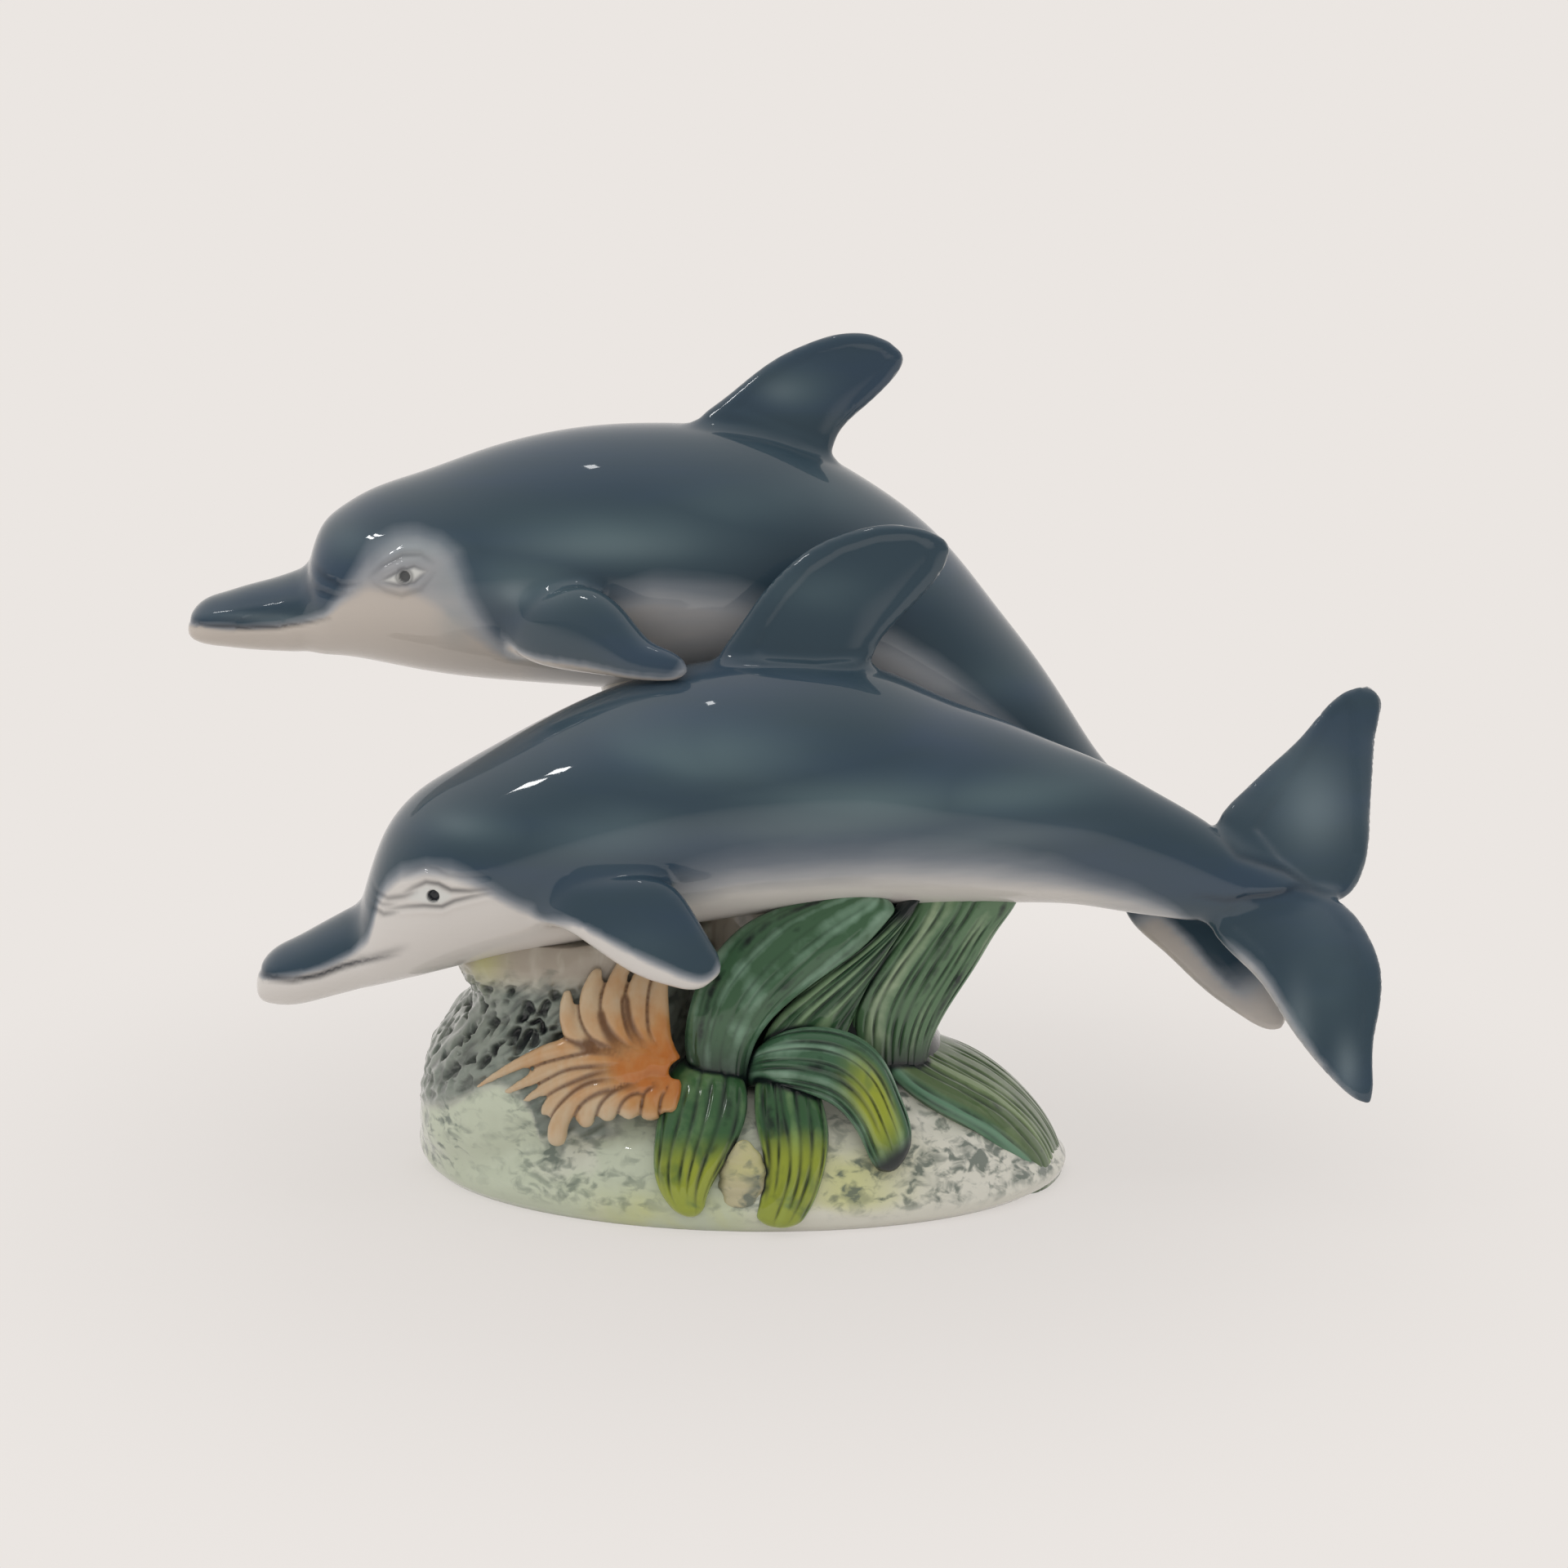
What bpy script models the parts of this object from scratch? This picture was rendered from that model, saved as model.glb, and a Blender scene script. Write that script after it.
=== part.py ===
"""Dolphin figurine: two dolphins cast in one piece with a sea-bed base.

The figure is glazed earthenware, slip cast as one hollow shell. The origin is
the centre of the base's flat underside, +X runs from the heads to the tails,
+Y away from the front, +Z up. Lengths in this file are millimetres until the
meshes are made; Blender works in metres.
"""

import math

import bmesh
import bpy
import numpy as np

MM = 0.001

# Base
BASE_LENGTH = 163.0
BASE_WIDTH = 102.0
BASE_TURN = math.radians(-5.0)
MOUND_HEIGHT = 35.0
FOOT_EXTRA = 6.0

# Casting
WALL = 4.5
BLOCK_WALL = 1.6 * WALL
BLOCK_FLOOR = 2.0 * WALL
LEAST_HOLLOW = 2.0
DRAIN_DIAMETER = 14.0
DRAIN_DEPTH = 4.0 * WALL
DRAIN_X = -30.0

# The vertical planes of symmetry of the two bodies
NEAR_Y = -19.0
FAR_Y = 21.0

# Fins, flukes and sea plants
FIN_ROOT_THICKNESS = 9.0
FLIPPER_THICKNESS = 9.0
FLUKE_THICKNESS = 8.0
EDGE_THICKNESS = 2.4
LEAF_THICKNESS = 7.0
TENDRIL_DIAMETER = 8.0
TENDRIL_TAPER = 0.5

# Eyes
PUPIL_DIAMETER = 2.8
PUPIL_DEPTH = 1.2

# Mesh
VOXEL = 1.1
CAVITY_VOXEL = 2.6
OUTER_TRIANGLES = 9400
CAVITY_TRIANGLES = 900
SMOOTH_PASSES = 4
SMOOTH_FACTOR = 0.5
GROUND_DEPTH = 8.0 * FOOT_EXTRA

# Rings along a form and points round each ring
BODY_RINGS = 72
BODY_POINTS = 40
BEAK_RINGS = 32
BLADE_RINGS = 40
BLADE_POINTS = 32
BLOCK_RINGS = 24
BLOCK_POINTS = 40
MOUND_POINTS = 64
ARM_RINGS = 16
ARM_POINTS = 10
PEBBLE_RINGS = 14
PEBBLE_POINTS = 20
DRAIN_SIDES = 24
PUPIL_SIDES = 10

# How round a blade's or block's outline is: 1 is a plain oval, less is boxier
ROUNDNESS = 0.8

GLAZE_COLOUR = (0.055, 0.082, 0.105, 1.0)
GLAZE_ROUGHNESS = 0.12

# A body station: the back (x, z), the belly (x, z), the half-width and the
# distance sideways from the body's plane of symmetry.
NEAR_BODY = [
    (-93.0, 69.0, -93.0, 58.0, 6.0, 0.0),
    (-90.6, 76.5, -90.6, 53.0, 12.5, 0.0),
    (-87.3, 86.5, -86.0, 53.4, 16.8, 0.0),
    (-83.5, 94.0, -80.0, 55.0, 19.5, 0.0),
    (-77.5, 100.5, -72.6, 57.0, 22.0, 0.0),
    (-71.0, 104.9, -64.5, 59.2, 23.6, 0.0),
    (-59.7, 111.4, -51.1, 62.0, 25.4, 0.0),
    (-36.1, 123.6, -30.9, 66.0, 27.6, 0.0),
    (-11.7, 131.6, -11.7, 69.0, 28.2, 0.0),
    (8.7, 133.6, 9.6, 72.0, 27.4, 0.0),
    (31.9, 131.0, 28.0, 73.5, 25.0, 0.3),
    (49.9, 123.0, 44.0, 73.4, 21.6, 0.8),
    (63.0, 117.8, 57.0, 73.3, 18.6, 1.4),
    (76.2, 112.0, 69.5, 73.1, 15.6, 2.2),
    (87.6, 107.0, 81.0, 72.3, 12.8, 3.0),
    (98.1, 100.9, 92.0, 70.3, 10.4, 3.8),
    (110.0, 93.8, 104.0, 68.3, 8.4, 4.6),
    (121.0, 86.6, 116.0, 67.0, 7.2, 5.0),
    (131.5, 80.8, 128.0, 67.8, 6.0, 5.0),
    (139.5, 76.0, 138.0, 70.2, 4.2, 5.0),
]
NEAR_BEAK = [
    (-117.2, 53.4, -116.9, 51.2, 3.0, 0.0),
    (-116.4, 57.2, -116.0, 49.2, 6.0, 0.0),
    (-113.8, 60.8, -113.6, 48.2, 8.0, 0.0),
    (-108.0, 64.2, -108.4, 47.9, 9.2, 0.0),
    (-102.0, 67.5, -102.6, 49.1, 10.0, 0.0),
    (-96.0, 70.8, -96.6, 50.8, 11.0, 0.0),
    (-90.0, 74.0, -90.6, 52.4, 12.6, 0.0),
    (-83.0, 76.5, -84.0, 54.5, 13.5, 0.0),
    (-76.0, 74.0, -77.0, 60.0, 10.0, 0.0),
]
FAR_BODY = [
    (-108.0, 146.5, -108.5, 134.0, 6.0, 0.0),
    (-106.0, 151.5, -106.5, 127.2, 12.5, 0.0),
    (-103.2, 158.6, -101.0, 126.2, 16.8, 0.0),
    (-98.0, 163.4, -94.5, 125.6, 19.8, 0.0),
    (-91.4, 167.2, -87.0, 124.2, 22.2, 0.0),
    (-79.0, 171.6, -74.8, 121.9, 24.4, 0.0),
    (-61.5, 177.8, -58.0, 120.0, 26.6, 0.0),
    (-37.4, 182.9, -38.2, 118.5, 28.6, 0.0),
    (-13.4, 183.6, -18.0, 117.0, 29.2, 0.0),
    (8.0, 181.0, -1.0, 116.4, 28.6, 0.0),
    (29.5, 170.6, 14.0, 114.0, 26.6, -0.6),
    (48.1, 156.6, 28.5, 109.4, 23.4, -1.4),
    (62.8, 139.0, 42.5, 103.0, 20.0, -2.8),
    (72.9, 126.0, 54.0, 96.5, 17.0, -4.0),
    (82.0, 112.4, 65.0, 90.0, 14.0, -5.4),
    (92.0, 98.4, 76.5, 82.8, 11.2, -7.0),
    (101.5, 90.8, 87.5, 76.0, 8.8, -8.4),
    (110.0, 84.6, 99.0, 70.5, 7.0, -9.2),
    (116.5, 79.0, 108.5, 68.0, 5.2, -9.6),
]
FAR_BEAK = [
    (-137.0, 132.8, -136.6, 131.0, 3.0, 0.0),
    (-136.2, 136.4, -135.2, 129.8, 6.0, 0.0),
    (-133.4, 139.6, -132.4, 128.8, 7.8, 0.0),
    (-128.4, 141.6, -128.0, 128.2, 9.0, 0.0),
    (-122.5, 143.4, -122.5, 127.6, 9.8, 0.0),
    (-116.5, 145.0, -116.5, 127.2, 10.6, 0.0),
    (-110.5, 147.0, -110.5, 127.0, 12.0, 0.0),
    (-102.0, 149.5, -102.0, 128.0, 13.5, 0.0),
    (-95.0, 147.5, -95.0, 132.0, 10.0, 0.0),
]

# A blade station: the leading edge (x, y, z), the trailing edge (x, y, z) and
# the share of the blade's root thickness. A fin's y is from its body's plane.
NEAR_FIN = [
    (-12.0, 0.0, 124.0, 33.0, 0.0, 122.0, 1.15),
    (-5.6, 0.0, 133.6, 31.4, 0.0, 130.2, 1.0),
    (0.2, 0.0, 141.6, 32.6, 0.0, 136.4, 0.86),
    (4.8, 0.0, 148.2, 35.8, 0.0, 140.8, 0.74),
    (10.6, 0.0, 154.8, 41.5, 0.0, 146.8, 0.64),
    (18.4, 0.0, 160.8, 46.8, 0.0, 153.0, 0.54),
    (27.0, 0.0, 164.2, 49.2, 0.0, 157.8, 0.46),
    (35.0, 0.0, 165.6, 48.9, 0.0, 161.4, 0.38),
    (41.4, 0.0, 165.2, 46.0, 0.0, 163.8, 0.28),
]
FAR_FIN = [
    (-20.0, 0.0, 176.0, 24.0, 0.0, 166.0, 1.15),
    (-12.0, 0.0, 184.0, 22.6, 0.0, 175.4, 1.0),
    (-4.4, 0.0, 189.6, 23.4, 0.0, 180.2, 0.88),
    (2.0, 0.0, 194.8, 26.0, 0.0, 184.0, 0.76),
    (9.0, 0.0, 199.8, 30.6, 0.0, 188.2, 0.66),
    (16.6, 0.0, 203.4, 36.0, 0.0, 193.4, 0.56),
    (24.0, 0.0, 205.6, 39.2, 0.0, 197.8, 0.46),
    (30.6, 0.0, 205.7, 39.3, 0.0, 200.8, 0.38),
    (34.8, 0.0, 204.6, 37.6, 0.0, 202.8, 0.28),
]
NEAR_FLIPPER = [
    (-50.0, -16.0, 70.0, -46.0, -14.0, 88.0, 1.0),
    (-42.0, -25.0, 74.2, -38.0, -23.0, 87.0, 1.0),
    (-33.0, -31.0, 70.6, -27.0, -27.0, 87.4, 1.0),
    (-23.0, -34.0, 65.1, -15.8, -30.0, 86.0, 0.92),
    (-15.0, -35.5, 62.9, -9.6, -32.0, 78.4, 0.78),
    (-9.2, -36.0, 62.6, -5.6, -33.0, 71.6, 0.6),
    (-5.2, -35.5, 64.4, -3.4, -34.0, 68.0, 0.42),
]
FAR_FLIPPER_NEAR = [
    (-58.0, -14.0, 133.0, -56.0, -15.0, 149.0, 1.0),
    (-50.0, -25.0, 129.8, -48.0, -25.5, 146.2, 1.0),
    (-40.0, -33.0, 129.0, -37.0, -33.0, 149.4, 1.0),
    (-31.0, -39.0, 129.1, -28.0, -39.0, 144.9, 0.9),
    (-24.0, -44.0, 129.2, -21.5, -44.0, 138.7, 0.74),
    (-17.5, -47.5, 129.7, -15.5, -47.5, 136.4, 0.56),
    (-13.0, -49.0, 130.2, -11.6, -49.0, 134.0, 0.38),
]
FAR_FLIPPER_FAR = [
    (-58.0, -14.0, 133.0, -56.0, -15.0, 149.0, 1.0),
    (-50.0, -25.0, 134.0, -48.0, -25.5, 149.6, 1.0),
    (-41.0, -30.0, 130.6, -37.5, -29.0, 149.4, 1.0),
    (-33.0, -33.0, 127.6, -29.0, -31.0, 145.0, 0.9),
    (-25.0, -34.0, 126.0, -23.4, -32.0, 138.2, 0.74),
    (-18.0, -34.5, 125.6, -17.2, -33.0, 132.4, 0.56),
    (-12.6, -34.5, 126.6, -12.2, -33.8, 129.6, 0.38),
]
NEAR_FLUKE_HIGH = [
    (112.0, 5.0, 84.0, 143.0, 5.0, 71.0, 1.0),
    (117.0, 9.0, 93.2, 150.0, 9.0, 75.0, 0.9),
    (121.3, 12.0, 97.0, 152.8, 12.0, 81.6, 0.8),
    (129.8, 17.0, 103.6, 154.0, 17.0, 91.8, 0.66),
    (138.0, 22.5, 109.8, 155.2, 22.5, 102.4, 0.52),
    (144.6, 27.0, 116.2, 156.6, 27.0, 110.6, 0.42),
    (149.4, 29.0, 119.2, 157.6, 29.0, 116.4, 0.34),
    (153.2, 30.0, 120.4, 156.2, 30.0, 119.6, 0.28),
]
NEAR_FLUKE_LOW = [
    (110.0, 5.0, 72.0, 143.0, 5.0, 74.0, 1.0),
    (117.0, -1.0, 62.8, 148.6, -1.0, 70.0, 0.9),
    (124.8, -6.0, 55.8, 151.4, -6.0, 66.0, 0.8),
    (130.8, -11.0, 47.4, 153.4, -11.0, 60.2, 0.68),
    (136.8, -15.0, 39.6, 153.0, -15.0, 52.0, 0.56),
    (141.0, -18.6, 35.4, 151.2, -18.6, 43.8, 0.46),
    (145.2, -21.0, 31.8, 151.0, -21.0, 36.2, 0.38),
    (149.0, -22.6, 29.2, 151.2, -22.6, 31.2, 0.3),
]
FAR_FLUKE_NEAR = [
    (93.0, -9.0, 72.0, 117.0, -9.0, 78.0, 1.0),
    (96.6, -14.6, 62.0, 121.0, -13.0, 70.6, 0.9),
    (103.6, -21.0, 56.3, 126.4, -19.0, 64.6, 0.8),
    (114.4, -29.0, 47.6, 130.0, -27.0, 57.0, 0.64),
    (122.0, -35.0, 43.4, 132.4, -33.0, 50.4, 0.5),
    (127.6, -39.0, 41.2, 133.2, -38.0, 45.2, 0.4),
    (130.4, -41.0, 41.2, 132.4, -41.0, 43.0, 0.32),
]
FAR_FLUKE_FAR = [
    (93.0, -9.0, 76.0, 117.0, -9.0, 78.0, 1.0),
    (97.4, -3.0, 74.0, 122.6, -4.0, 78.0, 0.9),
    (104.6, 3.4, 72.4, 129.0, 1.6, 75.4, 0.8),
    (115.6, 11.0, 69.4, 133.4, 9.0, 71.6, 0.64),
    (123.8, 17.0, 67.4, 136.0, 15.4, 68.8, 0.5),
    (130.0, 21.0, 66.2, 137.0, 20.0, 67.0, 0.4),
    (133.4, 23.4, 66.0, 136.2, 23.2, 66.2, 0.32),
]

# A mound station: a share of its height, a share of its width and of its
# length to the left, and a share of its length to the right.
MOUND_SHARES = [
    (-0.17, 0.90, 0.90),
    (0.0, 0.945, 0.945),
    (0.05, 0.978, 0.985),
    (0.12, 0.995, 1.0),
    (0.2, 1.0, 0.975),
    (0.34, 0.975, 0.925),
    (0.52, 0.915, 0.855),
    (0.68, 0.82, 0.775),
    (0.82, 0.69, 0.67),
    (0.93, 0.50, 0.50),
    (1.0, 0.22, 0.22),
]

# A block station: the height, the left and right ends along X, and the front
# and back along Y.
ROCK = [
    (-FOOT_EXTRA, -68.0, -6.0, -18.0, 34.0),
    (8.0, -80.0, -5.0, -29.0, 39.0),
    (20.0, -79.8, -6.0, -36.0, 40.0),
    (30.0, -78.0, -8.0, -37.5, 38.0),
    (38.0, -73.6, -10.0, -37.0, 33.0),
    (44.0, -68.6, -11.4, -35.0, 27.0),
    (49.0, -65.8, -12.0, -34.0, 21.0),
    (54.0, -68.0, -12.0, -33.0, 14.0),
    (59.0, -70.0, -11.0, -33.0, 7.0),
    (66.0, -64.0, -9.0, -32.0, 1.0),
]
PILLAR = [
    (-FOOT_EXTRA, -52.0, 52.0, -6.0, 42.0),
    (20.0, -50.0, 50.0, -2.0, 42.0),
    (44.0, -44.0, 42.0, 2.0, 40.0),
    (70.0, -38.0, 34.0, 4.0, 38.0),
    (96.0, -34.0, 30.0, 4.0, 37.0),
    (116.0, -34.5, 30.0, 2.0, 38.0),
    (130.0, -38.0, 26.0, 0.0, 40.0),
]
WEED_MASS = [
    (-FOOT_EXTRA, -14.0, 52.0, -34.0, 20.0),
    (20.0, -14.0, 54.0, -34.0, 20.0),
    (34.0, -12.0, 50.0, -31.0, 18.0),
    (42.0, -11.0, 46.4, -29.0, 16.0),
    (50.0, -9.0, 50.0, -27.0, 15.0),
    (60.0, -8.0, 56.0, -26.0, 12.0),
    (70.0, -8.0, 62.0, -26.0, 8.0),
    (80.0, -6.0, 65.0, -25.0, 4.0),
]

# Leaves: the left edge, the right edge and the share of the leaf's thickness.
LEAF_BROAD = [
    (-10.0, -33.0, 28.0, 2.0, -33.0, 27.0, 0.9),
    (-13.2, -35.0, 43.6, 3.8, -36.0, 43.0, 1.2),
    (-12.2, -35.0, 51.0, 8.0, -36.5, 49.6, 1.35),
    (-9.6, -34.0, 58.4, 13.6, -36.0, 54.8, 1.4),
    (-4.8, -33.0, 65.8, 20.4, -35.0, 59.8, 1.3),
    (2.6, -32.0, 72.4, 28.0, -34.0, 65.2, 1.2),
    (14.0, -31.0, 77.0, 34.0, -32.0, 70.8, 1.0),
    (26.0, -30.0, 80.0, 39.0, -30.0, 76.6, 0.8),
]
LEAF_UPRIGHT = [
    (28.6, -26.0, 30.0, 45.0, -22.0, 30.0, 1.0),
    (27.2, -27.0, 42.0, 46.8, -23.0, 40.6, 1.0),
    (27.6, -27.0, 51.4, 52.2, -23.0, 51.0, 1.0),
    (32.4, -27.0, 60.7, 57.6, -22.0, 59.4, 1.0),
    (37.3, -26.0, 67.2, 62.4, -21.0, 67.4, 1.0),
    (42.0, -25.0, 75.0, 67.4, -20.0, 75.4, 1.0),
    (44.0, -24.0, 82.0, 68.2, -18.0, 82.0, 0.9),
]
LEAF_MIDDLE = [
    (4.0, -32.0, 40.0, 2.0, -33.0, 31.0, 0.8),
    (9.6, -36.0, 45.6, 8.4, -38.5, 33.0, 1.0),
    (18.4, -37.5, 47.8, 16.4, -42.0, 32.2, 1.1),
    (27.6, -38.5, 46.0, 22.6, -43.0, 29.6, 1.1),
    (34.2, -40.0, 40.6, 26.8, -44.0, 25.4, 1.1),
    (38.4, -42.0, 32.0, 29.4, -45.0, 20.8, 1.0),
    (41.0, -44.0, 23.4, 31.6, -46.0, 16.4, 0.9),
    (40.0, -45.5, 16.6, 34.4, -46.5, 13.0, 0.6),
]
LEAF_FRONT_LEFT = [
    (-14.0, -30.0, 37.0, 0.0, -31.0, 35.0, 0.9),
    (-17.4, -36.0, 34.0, 1.6, -38.0, 32.4, 1.1),
    (-19.4, -41.0, 27.4, 1.6, -43.5, 27.6, 1.1),
    (-20.4, -45.0, 20.4, -1.0, -48.0, 21.6, 1.1),
    (-20.0, -48.0, 13.6, -4.8, -50.5, 15.6, 1.0),
    (-17.4, -50.0, 8.4, -7.6, -51.5, 10.0, 0.8),
    (-13.6, -51.0, 4.4, -8.4, -51.8, 5.4, 0.6),
]
LEAF_FRONT_RIGHT = [
    (4.4, -31.0, 36.0, 18.4, -31.0, 34.4, 0.9),
    (3.6, -38.0, 32.4, 19.2, -38.0, 31.6, 1.1),
    (3.8, -43.0, 26.0, 21.0, -43.0, 25.6, 1.1),
    (5.4, -47.0, 19.6, 21.0, -47.0, 19.0, 1.1),
    (5.8, -49.5, 13.4, 19.4, -49.5, 12.6, 1.0),
    (4.4, -51.0, 7.6, 17.0, -51.0, 7.0, 0.8),
    (4.0, -51.8, 3.0, 13.4, -51.8, 1.6, 0.6),
]
LEAF_RIGHT = [
    (38.0, -4.0, 38.0, 34.0, -27.0, 36.0, 1.0),
    (47.6, 0.0, 33.0, 39.0, -30.0, 31.6, 1.3),
    (55.6, 2.0, 29.0, 46.4, -32.0, 26.8, 1.5),
    (63.6, 3.0, 23.0, 54.0, -31.6, 22.4, 1.6),
    (70.8, 3.0, 15.4, 60.6, -29.6, 17.6, 1.6),
    (76.4, 2.0, 7.4, 66.8, -26.8, 11.6, 1.4),
    (78.6, 0.0, 1.0, 70.8, -24.0, 5.6, 1.1),
    (76.0, -2.0, -FOOT_EXTRA, 68.0, -21.0, -FOOT_EXTRA, 0.9),
]
LEAF_BACK_LEFT = [
    (-16.0, 38.0, 22.0, -32.0, 33.0, 24.0, 0.9),
    (-18.0, 39.0, 40.0, -34.0, 33.0, 42.0, 1.1),
    (-13.0, 39.0, 56.0, -31.0, 34.0, 60.0, 1.1),
    (-4.0, 39.0, 70.0, -22.0, 36.0, 76.0, 1.1),
    (8.0, 38.0, 80.0, -8.0, 37.0, 90.0, 1.0),
    (17.0, 37.0, 88.0, 7.0, 37.0, 98.0, 0.9),
    (23.0, 34.0, 96.0, 19.0, 34.0, 101.0, 0.7),
]
LEAF_BACK_RIGHT = [
    (34.0, 30.0, 30.0, 20.0, 38.0, 26.0, 0.9),
    (43.0, 30.0, 25.5, 29.0, 40.0, 19.0, 1.1),
    (51.0, 30.0, 19.6, 37.0, 41.0, 13.0, 1.1),
    (57.0, 29.0, 13.0, 43.0, 40.0, 8.0, 1.0),
    (60.0, 28.0, 7.0, 46.0, 39.0, 4.0, 0.9),
    (60.0, 26.0, 1.0, 47.0, 37.0, 0.0, 0.7),
]

# The anemone's arms: from the hub over points (x, y, z), widest near the hub.
ANEMONE_HUB = (-31.0, -35.0, 36.0)
ANEMONE_ARMS = [
    [(-45.0, -39.0, 35.0), (-62.0, -37.0, 31.5)],
    [(-44.0, -40.0, 31.5), (-51.5, -42.0, 26.0), (-48.0, -45.0, 17.0)],
    [(-38.0, -42.0, 29.0), (-37.4, -45.0, 21.0)],
    [(-33.0, -42.0, 29.0), (-32.0, -45.0, 23.5)],
    [(-27.0, -41.0, 30.0), (-21.0, -43.0, 26.0)],
    [(-25.0, -38.0, 36.0), (-17.0, -39.0, 33.0)],
    [(-35.0, -37.0, 45.0), (-34.6, -35.0, 53.0)],
    [(-28.0, -37.0, 46.0), (-25.0, -35.0, 55.5)],
    [(-22.0, -37.0, 46.0), (-16.6, -35.0, 56.0)],
    [(-40.0, -37.0, 42.0), (-45.0, -36.0, 45.0)],
]
PEBBLE_CENTRE = (1.0, -48.4, 12.8)
PEBBLE_SIZE = (12.6, 8.0, 20.6)

# The pupils: (x, z) on each body's flanks and how far out the skin is.
NEAR_EYE = (-72.0, 81.0, 22.6)
FAR_EYE = (-81.6, 149.0, 24.0)


def through(stations, count):
    """Points of a natural cubic spline through the stations."""
    rows = np.array(stations, dtype=float)
    gaps = np.linalg.norm(np.diff(rows[:, :-1], axis=0), axis=1)
    knots = np.concatenate(([0.0], np.cumsum(gaps)))
    size = len(rows)
    system = np.zeros((size, size))
    right = np.zeros_like(rows)
    system[0, 0] = 1.0
    system[-1, -1] = 1.0
    for i in range(1, size - 1):
        system[i, i - 1] = gaps[i - 1]
        system[i, i] = 2.0 * (gaps[i - 1] + gaps[i])
        system[i, i + 1] = gaps[i]
        after = (rows[i + 1] - rows[i]) / gaps[i]
        before = (rows[i] - rows[i - 1]) / gaps[i - 1]
        right[i] = 6.0 * (after - before)
    bend = np.linalg.solve(system, right)
    points = []
    for t in np.linspace(0.0, knots[-1], count):
        i = min(int(np.searchsorted(knots, t, side="right")) - 1, size - 2)
        gap = gaps[i]
        a = (knots[i + 1] - t) / gap
        b = (t - knots[i]) / gap
        cubic = ((a**3 - a) * bend[i] + (b**3 - b) * bend[i + 1]) * gap**2 / 6.0
        points.append(a * rows[i] + b * rows[i + 1] + cubic)
    return points


def body_rings(stations, plane_y, inset=0.0, count=BODY_RINGS, around=BODY_POINTS):
    """Upright oval sections of a body, each drawn in by the inset."""
    rings = []
    least = inset + LEAST_HOLLOW if inset else 0.0
    for top_x, top_z, low_x, low_z, half_width, aside in through(stations, count):
        centre = np.array([(top_x + low_x) / 2, plane_y + aside, (top_z + low_z) / 2])
        rise = np.array([(top_x - low_x) / 2, 0.0, (top_z - low_z) / 2])
        height = np.linalg.norm(rise)
        if min(height, half_width) <= least:
            continue
        rise *= (height - inset) / height
        side = np.array([0.0, half_width - inset, 0.0])
        ring = []
        for step in range(around):
            angle = 2.0 * math.pi * step / around
            ring.append(centre + rise * math.cos(angle) + side * math.sin(angle))
        rings.append(ring)
    return rings


def rounded(share):
    """A cosine or sine drawn out towards a rounded box."""
    return math.copysign(abs(share) ** ROUNDNESS, share)


def blade_rings(stations, thickness, plane_y=0.0, side=1.0):
    """Flattened sections of a fin or leaf, rounded at both edges."""
    count = BLADE_RINGS
    rows = through(stations, count)
    centres = [(row[0:3] + row[3:6]) / 2 for row in rows]
    rings = []
    for index, row in enumerate(rows):
        chord = (row[3:6] - row[0:3]) / 2
        ahead = centres[min(index + 1, count - 1)]
        behind = centres[max(index - 1, 0)]
        normal = np.cross(chord, ahead - behind)
        normal /= np.linalg.norm(normal)
        deep = max(thickness * row[6], EDGE_THICKNESS) / 2
        ring = []
        for step in range(BLADE_POINTS):
            angle = 2.0 * math.pi * step / BLADE_POINTS
            across = rounded(math.cos(angle))
            out = rounded(math.sin(angle))
            point = centres[index] + chord * across + normal * deep * out
            ring.append(np.array([point[0], plane_y + side * point[1], point[2]]))
        rings.append(ring)
    return rings


def block_rings(stations, inset=0.0):
    """Level oval sections of a rock or mound, each drawn in by the inset."""
    rings = []
    for height, left, right, front, back in through(stations, BLOCK_RINGS):
        ring = []
        for step in range(BLOCK_POINTS):
            angle = 2.0 * math.pi * step / BLOCK_POINTS
            across = rounded(math.cos(angle))
            deep = rounded(math.sin(angle))
            x = (left + right) / 2 + ((right - left) / 2 - inset) * across
            y = (front + back) / 2 + ((back - front) / 2 - inset) * deep
            ring.append(np.array([x, y, height]))
        rings.append(ring)
    return rings


def arm_rings(points, diameter):
    """Round sections of a tapering anemone arm along its points."""
    count = ARM_RINGS
    radius = diameter / 2
    rows = through([(*point, 0.0) for point in points], count)
    rings = []
    for index, row in enumerate(rows):
        ahead = rows[min(index + 1, count - 1)][:3]
        behind = rows[max(index - 1, 0)][:3]
        along = ahead - behind
        along /= np.linalg.norm(along)
        side = np.cross(along, [0.0, 1.0, 0.0])
        side /= np.linalg.norm(side)
        out = np.cross(side, along)
        size = radius * (1.0 - TENDRIL_TAPER * index / (count - 1))
        ring = []
        for step in range(ARM_POINTS):
            angle = 2.0 * math.pi * step / ARM_POINTS
            ring.append(row[:3] + size * (side * math.cos(angle) + out * math.sin(angle)))
        rings.append(ring)
    return rings


def skin(mesh, rings):
    """Add the closed surface over a row of rings to the bmesh."""
    rows = []
    for ring in rings:
        rows.append([mesh.verts.new(point * MM) for point in ring])
    around = len(rings[0])
    faces = []
    for low, high in zip(rows, rows[1:]):
        for step in range(around):
            after = (step + 1) % around
            faces.append(mesh.faces.new((low[step], low[after], high[after], high[step])))
    faces.append(mesh.faces.new(list(reversed(rows[0]))))
    faces.append(mesh.faces.new(rows[-1]))
    bmesh.ops.recalc_face_normals(mesh, faces=faces)


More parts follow.
